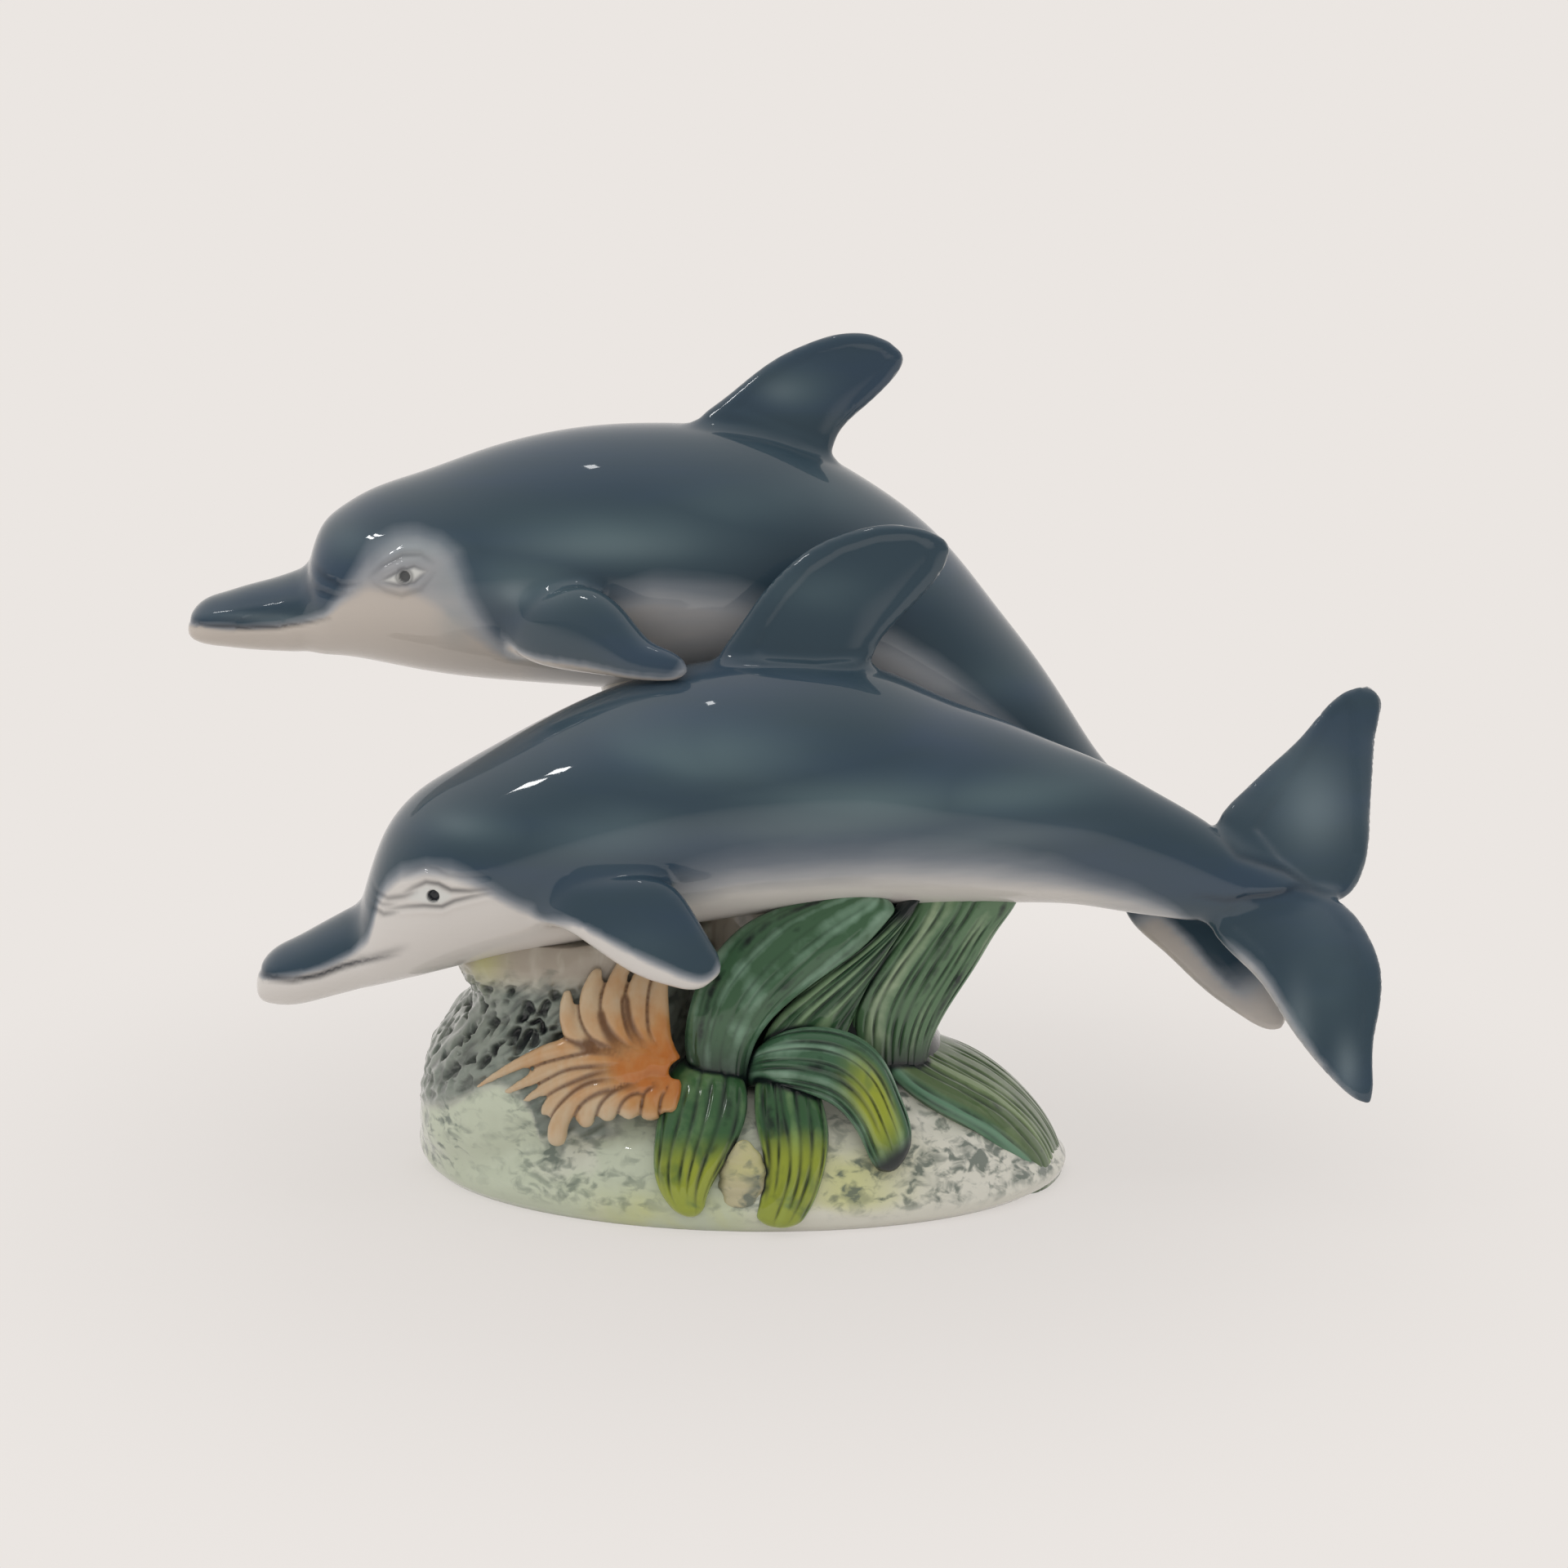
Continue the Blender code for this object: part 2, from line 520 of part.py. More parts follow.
def ball(mesh, centre, size):
    """Add an egg of the given size."""
    made = bmesh.ops.create_uvsphere(
        mesh,
        u_segments=PEBBLE_POINTS,
        v_segments=PEBBLE_RINGS,
        radius=MM / 2,
    )
    for vert in made["verts"]:
        vert.co.x = vert.co.x * size[0] + centre[0] * MM
        vert.co.y = vert.co.y * size[1] + centre[1] * MM
        vert.co.z = vert.co.z * size[2] + centre[2] * MM


def mound_rings(inset=0.0):
    """Level oval sections of the mound, turned a little on the table."""
    rings = []
    for share_up, share_out, share_right in MOUND_SHARES:
        height = share_up * (MOUND_HEIGHT - inset)
        left_radius = share_out * BASE_LENGTH / 2 - inset
        right_radius = share_right * BASE_LENGTH / 2 - inset
        short_radius = share_out * BASE_WIDTH / 2 - inset
        if short_radius < inset:
            continue
        ring = []
        for step in range(MOUND_POINTS):
            angle = 2.0 * math.pi * step / MOUND_POINTS
            long_radius = right_radius if math.cos(angle) > 0.0 else left_radius
            along = long_radius * math.cos(angle)
            deep = short_radius * math.sin(angle)
            x = along * math.cos(BASE_TURN) - deep * math.sin(BASE_TURN)
            y = along * math.sin(BASE_TURN) + deep * math.cos(BASE_TURN)
            ring.append(np.array([x, y, height]))
        rings.append(ring)
    return rings


def add_dolphins(mesh):
    """Both dolphins: bodies, beaks, dorsal fins, flippers and flukes."""
    skin(mesh, body_rings(NEAR_BODY, NEAR_Y))
    skin(mesh, body_rings(NEAR_BEAK, NEAR_Y, count=BEAK_RINGS))
    skin(mesh, body_rings(FAR_BODY, FAR_Y))
    skin(mesh, body_rings(FAR_BEAK, FAR_Y, count=BEAK_RINGS))
    skin(mesh, blade_rings(NEAR_FIN, FIN_ROOT_THICKNESS, NEAR_Y))
    skin(mesh, blade_rings(FAR_FIN, FIN_ROOT_THICKNESS, FAR_Y))
    for side in (1.0, -1.0):
        skin(mesh, blade_rings(NEAR_FLIPPER, FLIPPER_THICKNESS, NEAR_Y, side))
    skin(mesh, blade_rings(FAR_FLIPPER_NEAR, FLIPPER_THICKNESS, FAR_Y))
    skin(mesh, blade_rings(FAR_FLIPPER_FAR, FLIPPER_THICKNESS, FAR_Y, -1.0))
    for lobe in (NEAR_FLUKE_HIGH, NEAR_FLUKE_LOW):
        skin(mesh, blade_rings(lobe, FLUKE_THICKNESS, NEAR_Y))
    for lobe in (FAR_FLUKE_NEAR, FAR_FLUKE_FAR):
        skin(mesh, blade_rings(lobe, FLUKE_THICKNESS, FAR_Y))


def add_sea_bed(mesh):
    """The mound, the rocks, the sea plants, the anemone and a pebble."""
    skin(mesh, mound_rings())
    for block in (ROCK, PILLAR, WEED_MASS):
        skin(mesh, block_rings(block))
    leaves = (
        LEAF_BROAD,
        LEAF_UPRIGHT,
        LEAF_MIDDLE,
        LEAF_FRONT_LEFT,
        LEAF_FRONT_RIGHT,
        LEAF_RIGHT,
        LEAF_BACK_LEFT,
        LEAF_BACK_RIGHT,
    )
    for leaf in leaves:
        skin(mesh, blade_rings(leaf, LEAF_THICKNESS))
    for arm in ANEMONE_ARMS:
        skin(mesh, arm_rings([ANEMONE_HUB, *arm], TENDRIL_DIAMETER))
    ball(mesh, PEBBLE_CENTRE, PEBBLE_SIZE)


def add_hollow(mesh):
    """The inside that the slip leaves when it is poured off."""
    skin(mesh, body_rings(NEAR_BODY, NEAR_Y, WALL))
    skin(mesh, body_rings(FAR_BODY, FAR_Y, WALL))
    rings = [ring for ring in mound_rings(WALL) if ring[0][2] > 0.0]
    floor = [np.array([point[0], point[1], WALL]) for point in rings[0]]
    skin(mesh, [floor, *rings])
    for block in (ROCK, PILLAR):
        rings = block_rings(block, BLOCK_WALL)
        skin(mesh, [ring for ring in rings if ring[0][2] > BLOCK_FLOOR])


def new_object(name, fill, collection):
    """An object whose mesh the fill function makes."""
    mesh = bmesh.new()
    fill(mesh)
    data = bpy.data.meshes.new(name)
    mesh.to_mesh(data)
    mesh.free()
    made = bpy.data.objects.new(name, data)
    collection.objects.link(made)
    return made


def fuse(target, voxel, triangles):
    """Melt the overlapping forms of an object into one skin of few faces."""
    remesh = target.modifiers.new("Fuse", "REMESH")
    remesh.mode = "VOXEL"
    remesh.voxel_size = voxel * MM
    smooth = target.modifiers.new("Soften", "SMOOTH")
    smooth.factor = SMOOTH_FACTOR
    smooth.iterations = SMOOTH_PASSES
    graph = bpy.context.evaluated_depsgraph_get()
    graph.update()
    melted = target.evaluated_get(graph)
    quads = len(melted.data.polygons)
    thin = target.modifiers.new("Thin", "DECIMATE")
    thin.ratio = min(1.0, triangles / (2 * quads))
    thin.use_collapse_triangulate = True


def cutter(name, fill, collection):
    """A guide object that only cuts."""
    made = new_object(name, fill, collection)
    made.display_type = "WIRE"
    made.hide_render = True
    return made


def cut(target, tool):
    """Take a tool's volume out of the target."""
    modifier = target.modifiers.new(tool.name, "BOOLEAN")
    modifier.operation = "DIFFERENCE"
    modifier.solver = "EXACT"
    modifier.object = tool


def add_cylinder(mesh, centre, radius, depth, sides, along_y=False):
    """Add an upright cylinder, or one that lies along Y."""
    made = bmesh.ops.create_cone(
        mesh,
        cap_ends=True,
        segments=sides,
        radius1=radius * MM,
        radius2=radius * MM,
        depth=depth * MM,
    )
    for vert in made["verts"]:
        if along_y:
            vert.co.y, vert.co.z = -vert.co.z, vert.co.y
        vert.co.x += centre[0] * MM
        vert.co.y += centre[1] * MM
        vert.co.z += centre[2] * MM


def add_ground(mesh):
    """A slab below the table's level, which trims the foot flat."""
    made = bmesh.ops.create_cube(mesh, size=1.0)
    for vert in made["verts"]:
        vert.co.x *= 2 * BASE_LENGTH * MM
        vert.co.y *= 2 * BASE_WIDTH * MM
        vert.co.z = (vert.co.z - 0.5) * GROUND_DEPTH * MM


def add_drain(mesh):
    """The hole that the slip was poured through."""
    centre = (DRAIN_X, 0.0, 0.0)
    add_cylinder(mesh, centre, DRAIN_DIAMETER / 2, DRAIN_DEPTH, DRAIN_SIDES)


def add_pupils(mesh):
    """The drilled pupils, on both flanks of both heads."""
    for plane_y, (x, z, out) in ((NEAR_Y, NEAR_EYE), (FAR_Y, FAR_EYE)):
        for side in (-1.0, 1.0):
            centre = (x, plane_y + side * out, z)
            depth = 2 * PUPIL_DEPTH
            add_cylinder(mesh, centre, PUPIL_DIAMETER / 2, depth, PUPIL_SIDES, True)


def glaze():
    """The figure's glossy blue-grey glaze."""
    material = bpy.data.materials.new("glazed_earthenware")
    material.use_nodes = True
    shader = material.node_tree.nodes["Principled BSDF"]
    shader.inputs["Base Color"].default_value = GLAZE_COLOUR
    shader.inputs["Roughness"].default_value = GLAZE_ROUGHNESS
    shader.inputs["Metallic"].default_value = 0.0
    return material


def main():
    for old in list(bpy.data.objects):
        bpy.data.objects.remove(old)
    parts = bpy.data.collections.new("dolphin_figurine")
    cutters = bpy.data.collections.new("cutters")
    bpy.context.scene.collection.children.link(parts)
    bpy.context.scene.collection.children.link(cutters)

    def add_all(mesh):
        add_dolphins(mesh)
        add_sea_bed(mesh)

    figure = new_object("dolphin_figurine", add_all, parts)
    figure.data.materials.append(glaze())
    fuse(figure, VOXEL, OUTER_TRIANGLES)
    hollow = cutter("hollow", add_hollow, cutters)
    fuse(hollow, CAVITY_VOXEL, CAVITY_TRIANGLES)
    cut(figure, cutter("ground", add_ground, cutters))
    cut(figure, hollow)
    cut(figure, cutter("drain", add_drain, cutters))
    cut(figure, cutter("pupils", add_pupils, cutters))


main()
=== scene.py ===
"""The glazed dolphin pair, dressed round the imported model.

Each part of the casting is a class that makes its own mesh and paint. Tables
are in millimetres, in the model's frame: +X to the tails, +Y away from the
front, +Z up. Objects are made in metres.
"""

import logging
import math
from collections.abc import Callable, Iterator, Mapping, Sequence
from contextlib import contextmanager
from dataclasses import dataclass, field
from enum import Enum
from typing import Any

import bmesh
import bpy
import numpy as np
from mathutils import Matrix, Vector, noise
from mathutils.bvhtree import BVHTree
from mathutils.kdtree import KDTree


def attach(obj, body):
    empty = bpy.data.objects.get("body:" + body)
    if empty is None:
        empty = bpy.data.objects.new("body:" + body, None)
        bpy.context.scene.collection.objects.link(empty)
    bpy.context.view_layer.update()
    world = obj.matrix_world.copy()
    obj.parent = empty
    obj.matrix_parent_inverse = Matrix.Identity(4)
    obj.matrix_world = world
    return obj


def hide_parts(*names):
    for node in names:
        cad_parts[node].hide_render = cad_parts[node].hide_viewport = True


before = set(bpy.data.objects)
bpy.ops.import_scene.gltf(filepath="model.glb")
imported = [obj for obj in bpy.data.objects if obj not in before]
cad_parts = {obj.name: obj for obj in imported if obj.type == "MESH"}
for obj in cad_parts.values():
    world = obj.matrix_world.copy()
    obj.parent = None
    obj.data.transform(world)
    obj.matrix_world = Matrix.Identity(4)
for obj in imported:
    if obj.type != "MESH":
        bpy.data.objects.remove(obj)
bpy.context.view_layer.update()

LOG = logging.getLogger("dolphins")
Array = np.ndarray
Rows = Sequence[tuple[float, ...]]
Triple = tuple[float, float, float]
Colour = Triple

MM = 0.001
NODE = "dolphin_figurine"

# How far a point looks for the forms it is drawn onto, in millimetres
SEARCH_REACH = 6.0
DRAW_REACH = 5.0
RAY_REACH = 3.0
OUT_OF_REACH = 9.0

# Camera
TARGET = Vector((10.6, 0.0, 98.0))
ELEVATION = math.radians(14.0)
DISTANCE = 900.0
LENS = 84.375
SENSOR = 36.0
CAMERA = TARGET + DISTANCE * Vector((0.0, -math.cos(ELEVATION), math.sin(ELEVATION)))


def paint(red: int, green: int, blue: int) -> Colour:
    """A colour as seen on a screen, 0 to 255, as the light it reflects."""
    shares = [value / 255.0 for value in (red, green, blue)]
    return tuple(s / 12.92 if s <= 0.04045 else ((s + 0.055) / 1.055) ** 2.4 for s in shares)


def ease(low: float, high: float, values: Array) -> Array:
    """A smooth step from 0 at low to 1 at high."""
    share = np.clip((values - low) / (high - low), 0.0, 1.0)
    return share * share * (3.0 - 2.0 * share)


def bell(values: Array, width: float) -> Array:
    """1 at zero, falling off smoothly over the width."""
    return np.exp(-((values / width) ** 2))


def through(stations: Rows, count: int) -> Array:
    """Points of a natural cubic spline through the stations.

    Args:
        stations: Rows of numbers; the last one doesn't count as distance.
        count: How many points to return.

    Returns:
        An array of count rows.
    """
    rows = np.array(stations, dtype=float)
    gaps = np.linalg.norm(np.diff(rows[:, :-1], axis=0), axis=1)
    knots = np.concatenate(([0.0], np.cumsum(gaps)))
    size = len(rows)
    system = np.eye(size)
    right = np.zeros_like(rows)
    for i in range(1, size - 1):
        system[i, i - 1 : i + 2] = (gaps[i - 1], 2.0 * (gaps[i - 1] + gaps[i]), gaps[i])
        after = (rows[i + 1] - rows[i]) / gaps[i]
        before = (rows[i] - rows[i - 1]) / gaps[i - 1]
        right[i] = 6.0 * (after - before)
    bend = np.linalg.solve(system, right)
    places = np.linspace(0.0, knots[-1], count)
    at = np.clip(np.searchsorted(knots, places, side="right") - 1, 0, size - 2)
    gap = gaps[at][:, None]
    a = (knots[at + 1] - places)[:, None] / gap
    b = (places - knots[at])[:, None] / gap
    cubic = ((a**3 - a) * bend[at] + (b**3 - b) * bend[at + 1]) * gap**2 / 6.0
    return a * rows[at] + b * rows[at + 1] + cubic


def near_line(places: Array, line: Rows) -> tuple[Array, Array]:
    """How far places in the side view are from a line.

    Args:
        places: The (x, z) of each point.
        line: The (x, z) corners of an open line.

    Returns:
        The distances, and the share of the line's length at the nearest place.
    """
    corners = np.array(line, dtype=float)
    steps = np.linalg.norm(np.diff(corners, axis=0), axis=1)
    reached = np.concatenate(([0.0], np.cumsum(steps)))
    best = np.full(len(places), np.inf)
    share = np.zeros(len(places))
    for i, step in enumerate(steps):
        along = (corners[i + 1] - corners[i]) / step
        t = np.clip((places - corners[i]) @ along, 0.0, step)
        gap = np.linalg.norm(places - corners[i] - t[:, None] * along, axis=1)
        closer = gap < best
        best[closer] = gap[closer]
        share[closer] = ((reached[i] + t) / reached[-1])[closer]
    return best, share


def inside(places: Array, outline: Rows) -> Array:
    """How deep places in the side view lie inside an outline, else below 0."""
    corners = [*outline, outline[0]]
    gap, _ = near_line(places, corners)
    within = np.zeros(len(places), dtype=bool)
    x, z = places[:, 0], places[:, 1]
    for (x0, z0), (x1, z1) in zip(corners, corners[1:]):
        crosses = (z0 > z) != (z1 > z)
        if z1 != z0:
            within ^= crosses & (x < x0 + (z - z0) * (x1 - x0) / (z1 - z0))
    return np.where(within, gap, -gap)


# Forms


@dataclass
class Loft:
    """A closed skin over a row of rings.

    Args:
        label: What the form is, for its paint.
        rings: The points of each ring, rings x around x 3.
        turn: The angle of each point round its ring.
    """

    label: str
    rings: Array
    turn: Array

    def faces(self, start: int = 0) -> list[list[int]]:
        """The corner numbers of its faces, counted on from start."""
        count, around = self.rings.shape[:2]
        index = start + np.arange(count * around).reshape(count, around)
        after = np.roll(index, -1, axis=1)
        quads = np.stack((index[:-1], after[:-1], after[1:], index[1:]), axis=-1)
        caps = [index[0][::-1].tolist(), index[-1].tolist()]
        return quads.reshape(-1, 4).tolist() + caps

    def tree(self) -> BVHTree:
        """A search tree over its faces, in millimetres."""
        return BVHTree.FromPolygons(self.rings.reshape(-1, 3).tolist(), self.faces())

    def samples(self) -> tuple[Array, Array, Array]:
        """Every point, its share along the form and its angle round it."""
        count, around = self.rings.shape[:2]
        along = np.repeat(np.linspace(0.0, 1.0, count), around)
        return self.rings.reshape(-1, 3), along, np.tile(self.turn, count)


def angles(around: int) -> Array:
    """Even angles round a ring."""
    return 2.0 * math.pi * np.arange(around) / around


def squared(values: Array, power: float = 0.8) -> Array:
    """A cosine or sine drawn out a little towards a rounded box."""
    return np.sign(values) * np.abs(values) ** power


def domed(count: int, start: float, end: float) -> Array:
    """Shares that round off a form's two ends, each over its share of the length."""
    along = np.linspace(0.0, 1.0, count)
    share = np.ones(count)
    if start:
        share = np.sqrt(1.0 - np.clip((start - along) / (start * 1.02), 0.0, 1.0) ** 2)
    if end:
        share = share * np.sqrt(1.0 - np.clip((along - 1.0 + end) / (end * 1.02), 0.0, 1.0) ** 2)
    return share


def body_loft(
    label: str, stations: Rows, plane: float, count: int = 180, around: int = 112
) -> Loft:
    """A body or beak from upright oval sections (see the station tables)."""
    rows = through(stations, count)
    turn = angles(around)
    centre = np.stack(
        (
            (rows[:, 0] + rows[:, 2]) / 2,
            plane + rows[:, 5],
            (rows[:, 1] + rows[:, 3]) / 2,
        ),
        axis=1,
    )
    tip = domed(count, 0.025, 0.0)
    rise = np.stack(
        ((rows[:, 0] - rows[:, 2]) / 2, np.zeros(count), (rows[:, 1] - rows[:, 3]) / 2), axis=1
    )
    rise *= tip[:, None]
    side = np.stack((np.zeros(count), rows[:, 4] * tip, np.zeros(count)), axis=1)
    rings = (
        centre[:, None]
        + rise[:, None] * np.cos(turn)[None, :, None]
        + side[:, None] * np.sin(turn)[None, :, None]
    )
    return Loft(label, rings, turn)


def blade_frames(stations: Rows, count: int) -> tuple[Array, Array, Array, Array]:
    """The centres, half chords, normals and shares of a blade's sections."""
    rows = through(stations, count)
    centres = (rows[:, 0:3] + rows[:, 3:6]) / 2
    chords = (rows[:, 3:6] - rows[:, 0:3]) / 2
    ahead = centres[np.minimum(np.arange(count) + 1, count - 1)]
    behind = centres[np.maximum(np.arange(count) - 1, 0)]
    normals = np.cross(chords, ahead - behind)
    normals /= np.linalg.norm(normals, axis=1)[:, None]
    return centres, chords, normals, rows[:, 6]


def blade_loft(
    label: str,
    stations: Rows,
    thickness: float,
    plane: float,
    side: float = 1.0,
    count: int = 110,
    around: int = 96,
) -> Loft:
    """A fin, flipper or fluke: flattened sections, rounded at both edges."""
    centres, chords, normals, shares = blade_frames(stations, count)
    turn = angles(around)
    tip = domed(count, 0.0, 0.06)
    deep = np.maximum(thickness * shares, EDGE_THICKNESS) / 2 * tip
    chords = chords * tip[:, None]
    rings = (
        centres[:, None]
        + chords[:, None] * squared(np.cos(turn))[None, :, None]
        + (normals * deep[:, None])[:, None] * squared(np.sin(turn))[None, :, None]
    )
    rings[..., 1] = plane + side * rings[..., 1]
    return Loft(label, rings, turn)


def block_loft(label: str, stations: Rows, count: int = 40, around: int = 64) -> Loft:
    """A rock or pillar from level oval sections."""
    rows = through(stations, count)
    turn = angles(around)
    height, left, right, front, back = (rows[:, i][:, None] for i in range(5))
    x = (left + right) / 2 + (right - left) / 2 * squared(np.cos(turn))[None]
    y = (front + back) / 2 + (back - front) / 2 * squared(np.sin(turn))[None]
    z = np.broadcast_to(height, x.shape)
    return Loft(label, np.stack((x, y, z), axis=-1), turn)


def mound_loft(around: int = 120) -> Loft:
    """The oval mound, turned a little on the table."""
    shares = np.array(MOUND_SHARES)
    turn = angles(around)
    reach = np.where(np.cos(turn)[None] > 0.0, shares[:, 2:3], shares[:, 1:2])
    long_way = reach * BASE_LENGTH / 2 * np.cos(turn)[None]
    deep_way = shares[:, 1:2] * BASE_WIDTH / 2 * np.sin(turn)[None]
    x = long_way * math.cos(BASE_TURN) - deep_way * math.sin(BASE_TURN)
    y = long_way * math.sin(BASE_TURN) + deep_way * math.cos(BASE_TURN)
    z = np.broadcast_to(shares[:, :1] * MOUND_HEIGHT, x.shape)
    return Loft("mound", np.stack((x, y, z), axis=-1), turn)


def tube_loft(label: str, points: Array, radii: Array, count: int = 40, around: int = 20) -> Loft:
    """An arm along points, lying flat against what is behind it, round at its end."""
    rows = through(np.column_stack((points, radii)), count)
    rows[:, 3] *= domed(count, 0.0, 0.09)
    turn = angles(around)
    along = np.gradient(rows[:, :3], axis=0)
    along /= np.linalg.norm(along, axis=1)[:, None]
    side = np.cross(along, [0.0, 1.0, 0.0])
    side /= np.linalg.norm(side, axis=1)[:, None]
    out = np.cross(side, along)
    size = rows[:, 3][:, None, None]
    rings = rows[:, None, :3] + size * (
        side[:, None] * np.cos(turn)[None, :, None] + out[:, None] * np.sin(turn)[None, :, None]
    )
    return Loft(label, rings, turn)


def loft_mesh(name: str, lofts: Sequence[Loft]) -> bpy.types.Mesh:
    """One mesh that holds every loft as a closed shell."""
    points: list[Array] = []
    faces: list[list[int]] = []
    start = 0
    for loft in lofts:
        faces.extend(loft.faces(start))
        points.append(loft.rings.reshape(-1, 3))
        start += len(points[-1])
    mesh = bpy.data.meshes.new(name)
    mesh.from_pydata((np.concatenate(points) * MM).tolist(), [], faces)
    return mesh


def settle(made: bpy.types.Object) -> None:
    """Turn an object's modifiers into its mesh."""
    graph = bpy.context.evaluated_depsgraph_get()
    mesh = bpy.data.meshes.new_from_object(made.evaluated_get(graph))
    rough = made.data
    made.modifiers.clear()
    made.data = mesh
    bpy.data.meshes.remove(rough)
    mesh.name = made.name


@contextmanager
def edited(mesh: bpy.types.Mesh) -> Iterator[bmesh.types.BMesh]:
    """A mesh opened for editing and put back afterwards."""
    work = bmesh.new()
    work.from_mesh(mesh)
    yield work
    work.to_mesh(mesh)
    work.free()


class Skin:
    """A piece's mesh as arrays, to be carved and painted.

    Args:
        made: The object whose mesh is worked on.
    """

    def __init__(self, made: bpy.types.Object) -> None:
        """Read the object's mesh."""
        self.made = made
        self.read()

    def read(self) -> None:
        """Take points, normals and edges from the mesh."""
        mesh = self.made.data
        count = len(mesh.vertices)
        flat = np.empty(count * 3, dtype=np.float32)
        mesh.vertices.foreach_get("co", flat)
        self.points = flat.reshape(-1, 3).astype(float) / MM
        mesh.vertex_normals.foreach_get("vector", flat)
        self.normals = flat.reshape(-1, 3).astype(float)
        ends = np.empty(len(mesh.edges) * 2, dtype=np.int32)
        mesh.edges.foreach_get("vertices", ends)
        self.edges = ends.reshape(-1, 2)

    def write(self) -> None:
        """Put the points back and read the new normals."""
        mesh = self.made.data
        mesh.vertices.foreach_set("co", (self.points * MM).astype(np.float32).ravel())
        mesh.update()
        self.read()

    @property
    def side_view(self) -> Array:
        """The (x, z) of every point."""
        return self.points[:, (0, 2)]

    def soften(self, values: Array, passes: int) -> Array:
        """Values averaged with their neighbours along the edges."""
        count = len(self.points)
        a, b = self.edges[:, 0], self.edges[:, 1]
        degree = np.bincount(a, minlength=count) + np.bincount(b, minlength=count)
        degree = np.maximum(degree, 1)
        for _ in range(passes):
            total = np.bincount(a, values[b], count) + np.bincount(b, values[a], count)
            values = 0.5 * values + 0.5 * total / degree
        return values

    def relax(self, mask: Array, passes: int) -> None:
        """Smooth the form itself where the mask is 1."""
        for axis in range(3):
            soft = self.soften(self.points[:, axis], passes)
            self.points[:, axis] += mask * (soft - self.points[:, axis])
        self.write()

    def push(self, amount: Array) -> None:
        """Move every point out along its normal, in millimetres."""
        self.points += self.normals * amount[:, None]
        self.write()

    def colour(self, name: str, values: Array) -> None:
        """Keep one number a point for the glaze."""
        layer = self.made.data.attributes.new(name, "FLOAT", "POINT")
        layer.data.foreach_set("value", np.clip(values, 0.0, 1.0).astype(np.float32))

    def refine(self, chosen: Callable[[Array], Array], cuts: int, passes: int = 3) -> None:
        """Cut the faces of a region finer and round them off.

        Args:
            chosen: Takes all points and tells which lie in the region.
            cuts: How many cuts each edge gets.
            passes: How many times the region is smoothed.
        """
        picked = chosen(self.points)
        with edited(self.made.data) as work:
            edges = [e for e in work.edges if all(picked[v.index] for v in e.verts)]
            bmesh.ops.subdivide_edges(work, edges=edges, cuts=cuts, use_grid_fill=True)
        self.read()
        self.relax(chosen(self.points).astype(float), passes)

    def whose(self, lofts: Sequence[Loft]) -> tuple[Array, Array, Array]:
        """Which loft each point lies on, and where.

        Args:
            lofts: The forms the skin was made of.

        Returns:
            The number of the nearest loft, the share along it and the angle.
        """
        parts = [loft.samples() for loft in lofts]
        spots = np.concatenate([part[0] for part in parts])
        along = np.concatenate([part[1] for part in parts])
        turn = np.concatenate([part[2] for part in parts])
        number = np.concatenate([np.full(len(part[0]), i) for i, part in enumerate(parts)])
        tree = KDTree(len(spots))
        for i, spot in enumerate(spots):
            tree.insert(spot, i)
        tree.balance()
        nearest = np.array([tree.find(point)[1] for point in self.points])
        return number[nearest], along[nearest], turn[nearest]

    def divide(self) -> None:
        """Split every face in four and round the skin."""
        smooth = self.made.modifiers.new("divide", "SUBSURF")
        smooth.levels = 1
        smooth.render_levels = 1
        settle(self.made)
        self.read()

    def draw_onto(self, lofts: Sequence[Loft], blend: tuple[float, float] = (1.0, 4.0)) -> None:
        """Draw the skin onto the exact forms, but not where they join.

        Args:
            lofts: The forms the skin was made of.
            blend: How near a second form a point stays where it is, and how
                far from it the point is drawn all the way.
        """
        trees = [loft.tree() for loft in lofts]
        target = self.points.copy()
        second = np.full(len(target), OUT_OF_REACH)
        for i, point in enumerate(self.points.tolist()):
            found = [tree.find_nearest(point, SEARCH_REACH) for tree in trees]
            gaps = [OUT_OF_REACH if spot[3] is None else spot[3] for spot in found]
            first = min(range(len(gaps)), key=gaps.__getitem__)
            if gaps[first] > DRAW_REACH:
                continue
            others = gaps[:first] + gaps[first + 1 :]
            second[i] = min(others, default=OUT_OF_REACH)
            target[i] = self._along_normal(trees[first], point, i, found[first][0])
        share = ease(*blend, second)[:, None]
        self.points += share * (target - self.points)
        self.write()

    def _along_normal(self, tree: BVHTree, point: list[float], i: int, nearest: Vector) -> Vector:
        """Where a form lies straight over or under a point of the skin."""
        normal = Vector(self.normals[i])
        best, least = nearest, RAY_REACH
        for way in (normal, -normal):
            hit = tree.ray_cast(point, way, RAY_REACH)
            if hit[0] is not None and hit[3] < least:
                best, least = hit[0], hit[3]
        return best

    def tree(self) -> BVHTree:
        """A search tree over the faces, in millimetres."""
        faces = [tuple(face.vertices) for face in self.made.data.polygons]
        return BVHTree.FromPolygons(self.points.tolist(), faces)


def link(name: str, mesh: bpy.types.Mesh) -> bpy.types.Object:
    """A new object in the scene."""
    made = bpy.data.objects.new(name, mesh)
    bpy.context.scene.collection.objects.link(made)
    return made


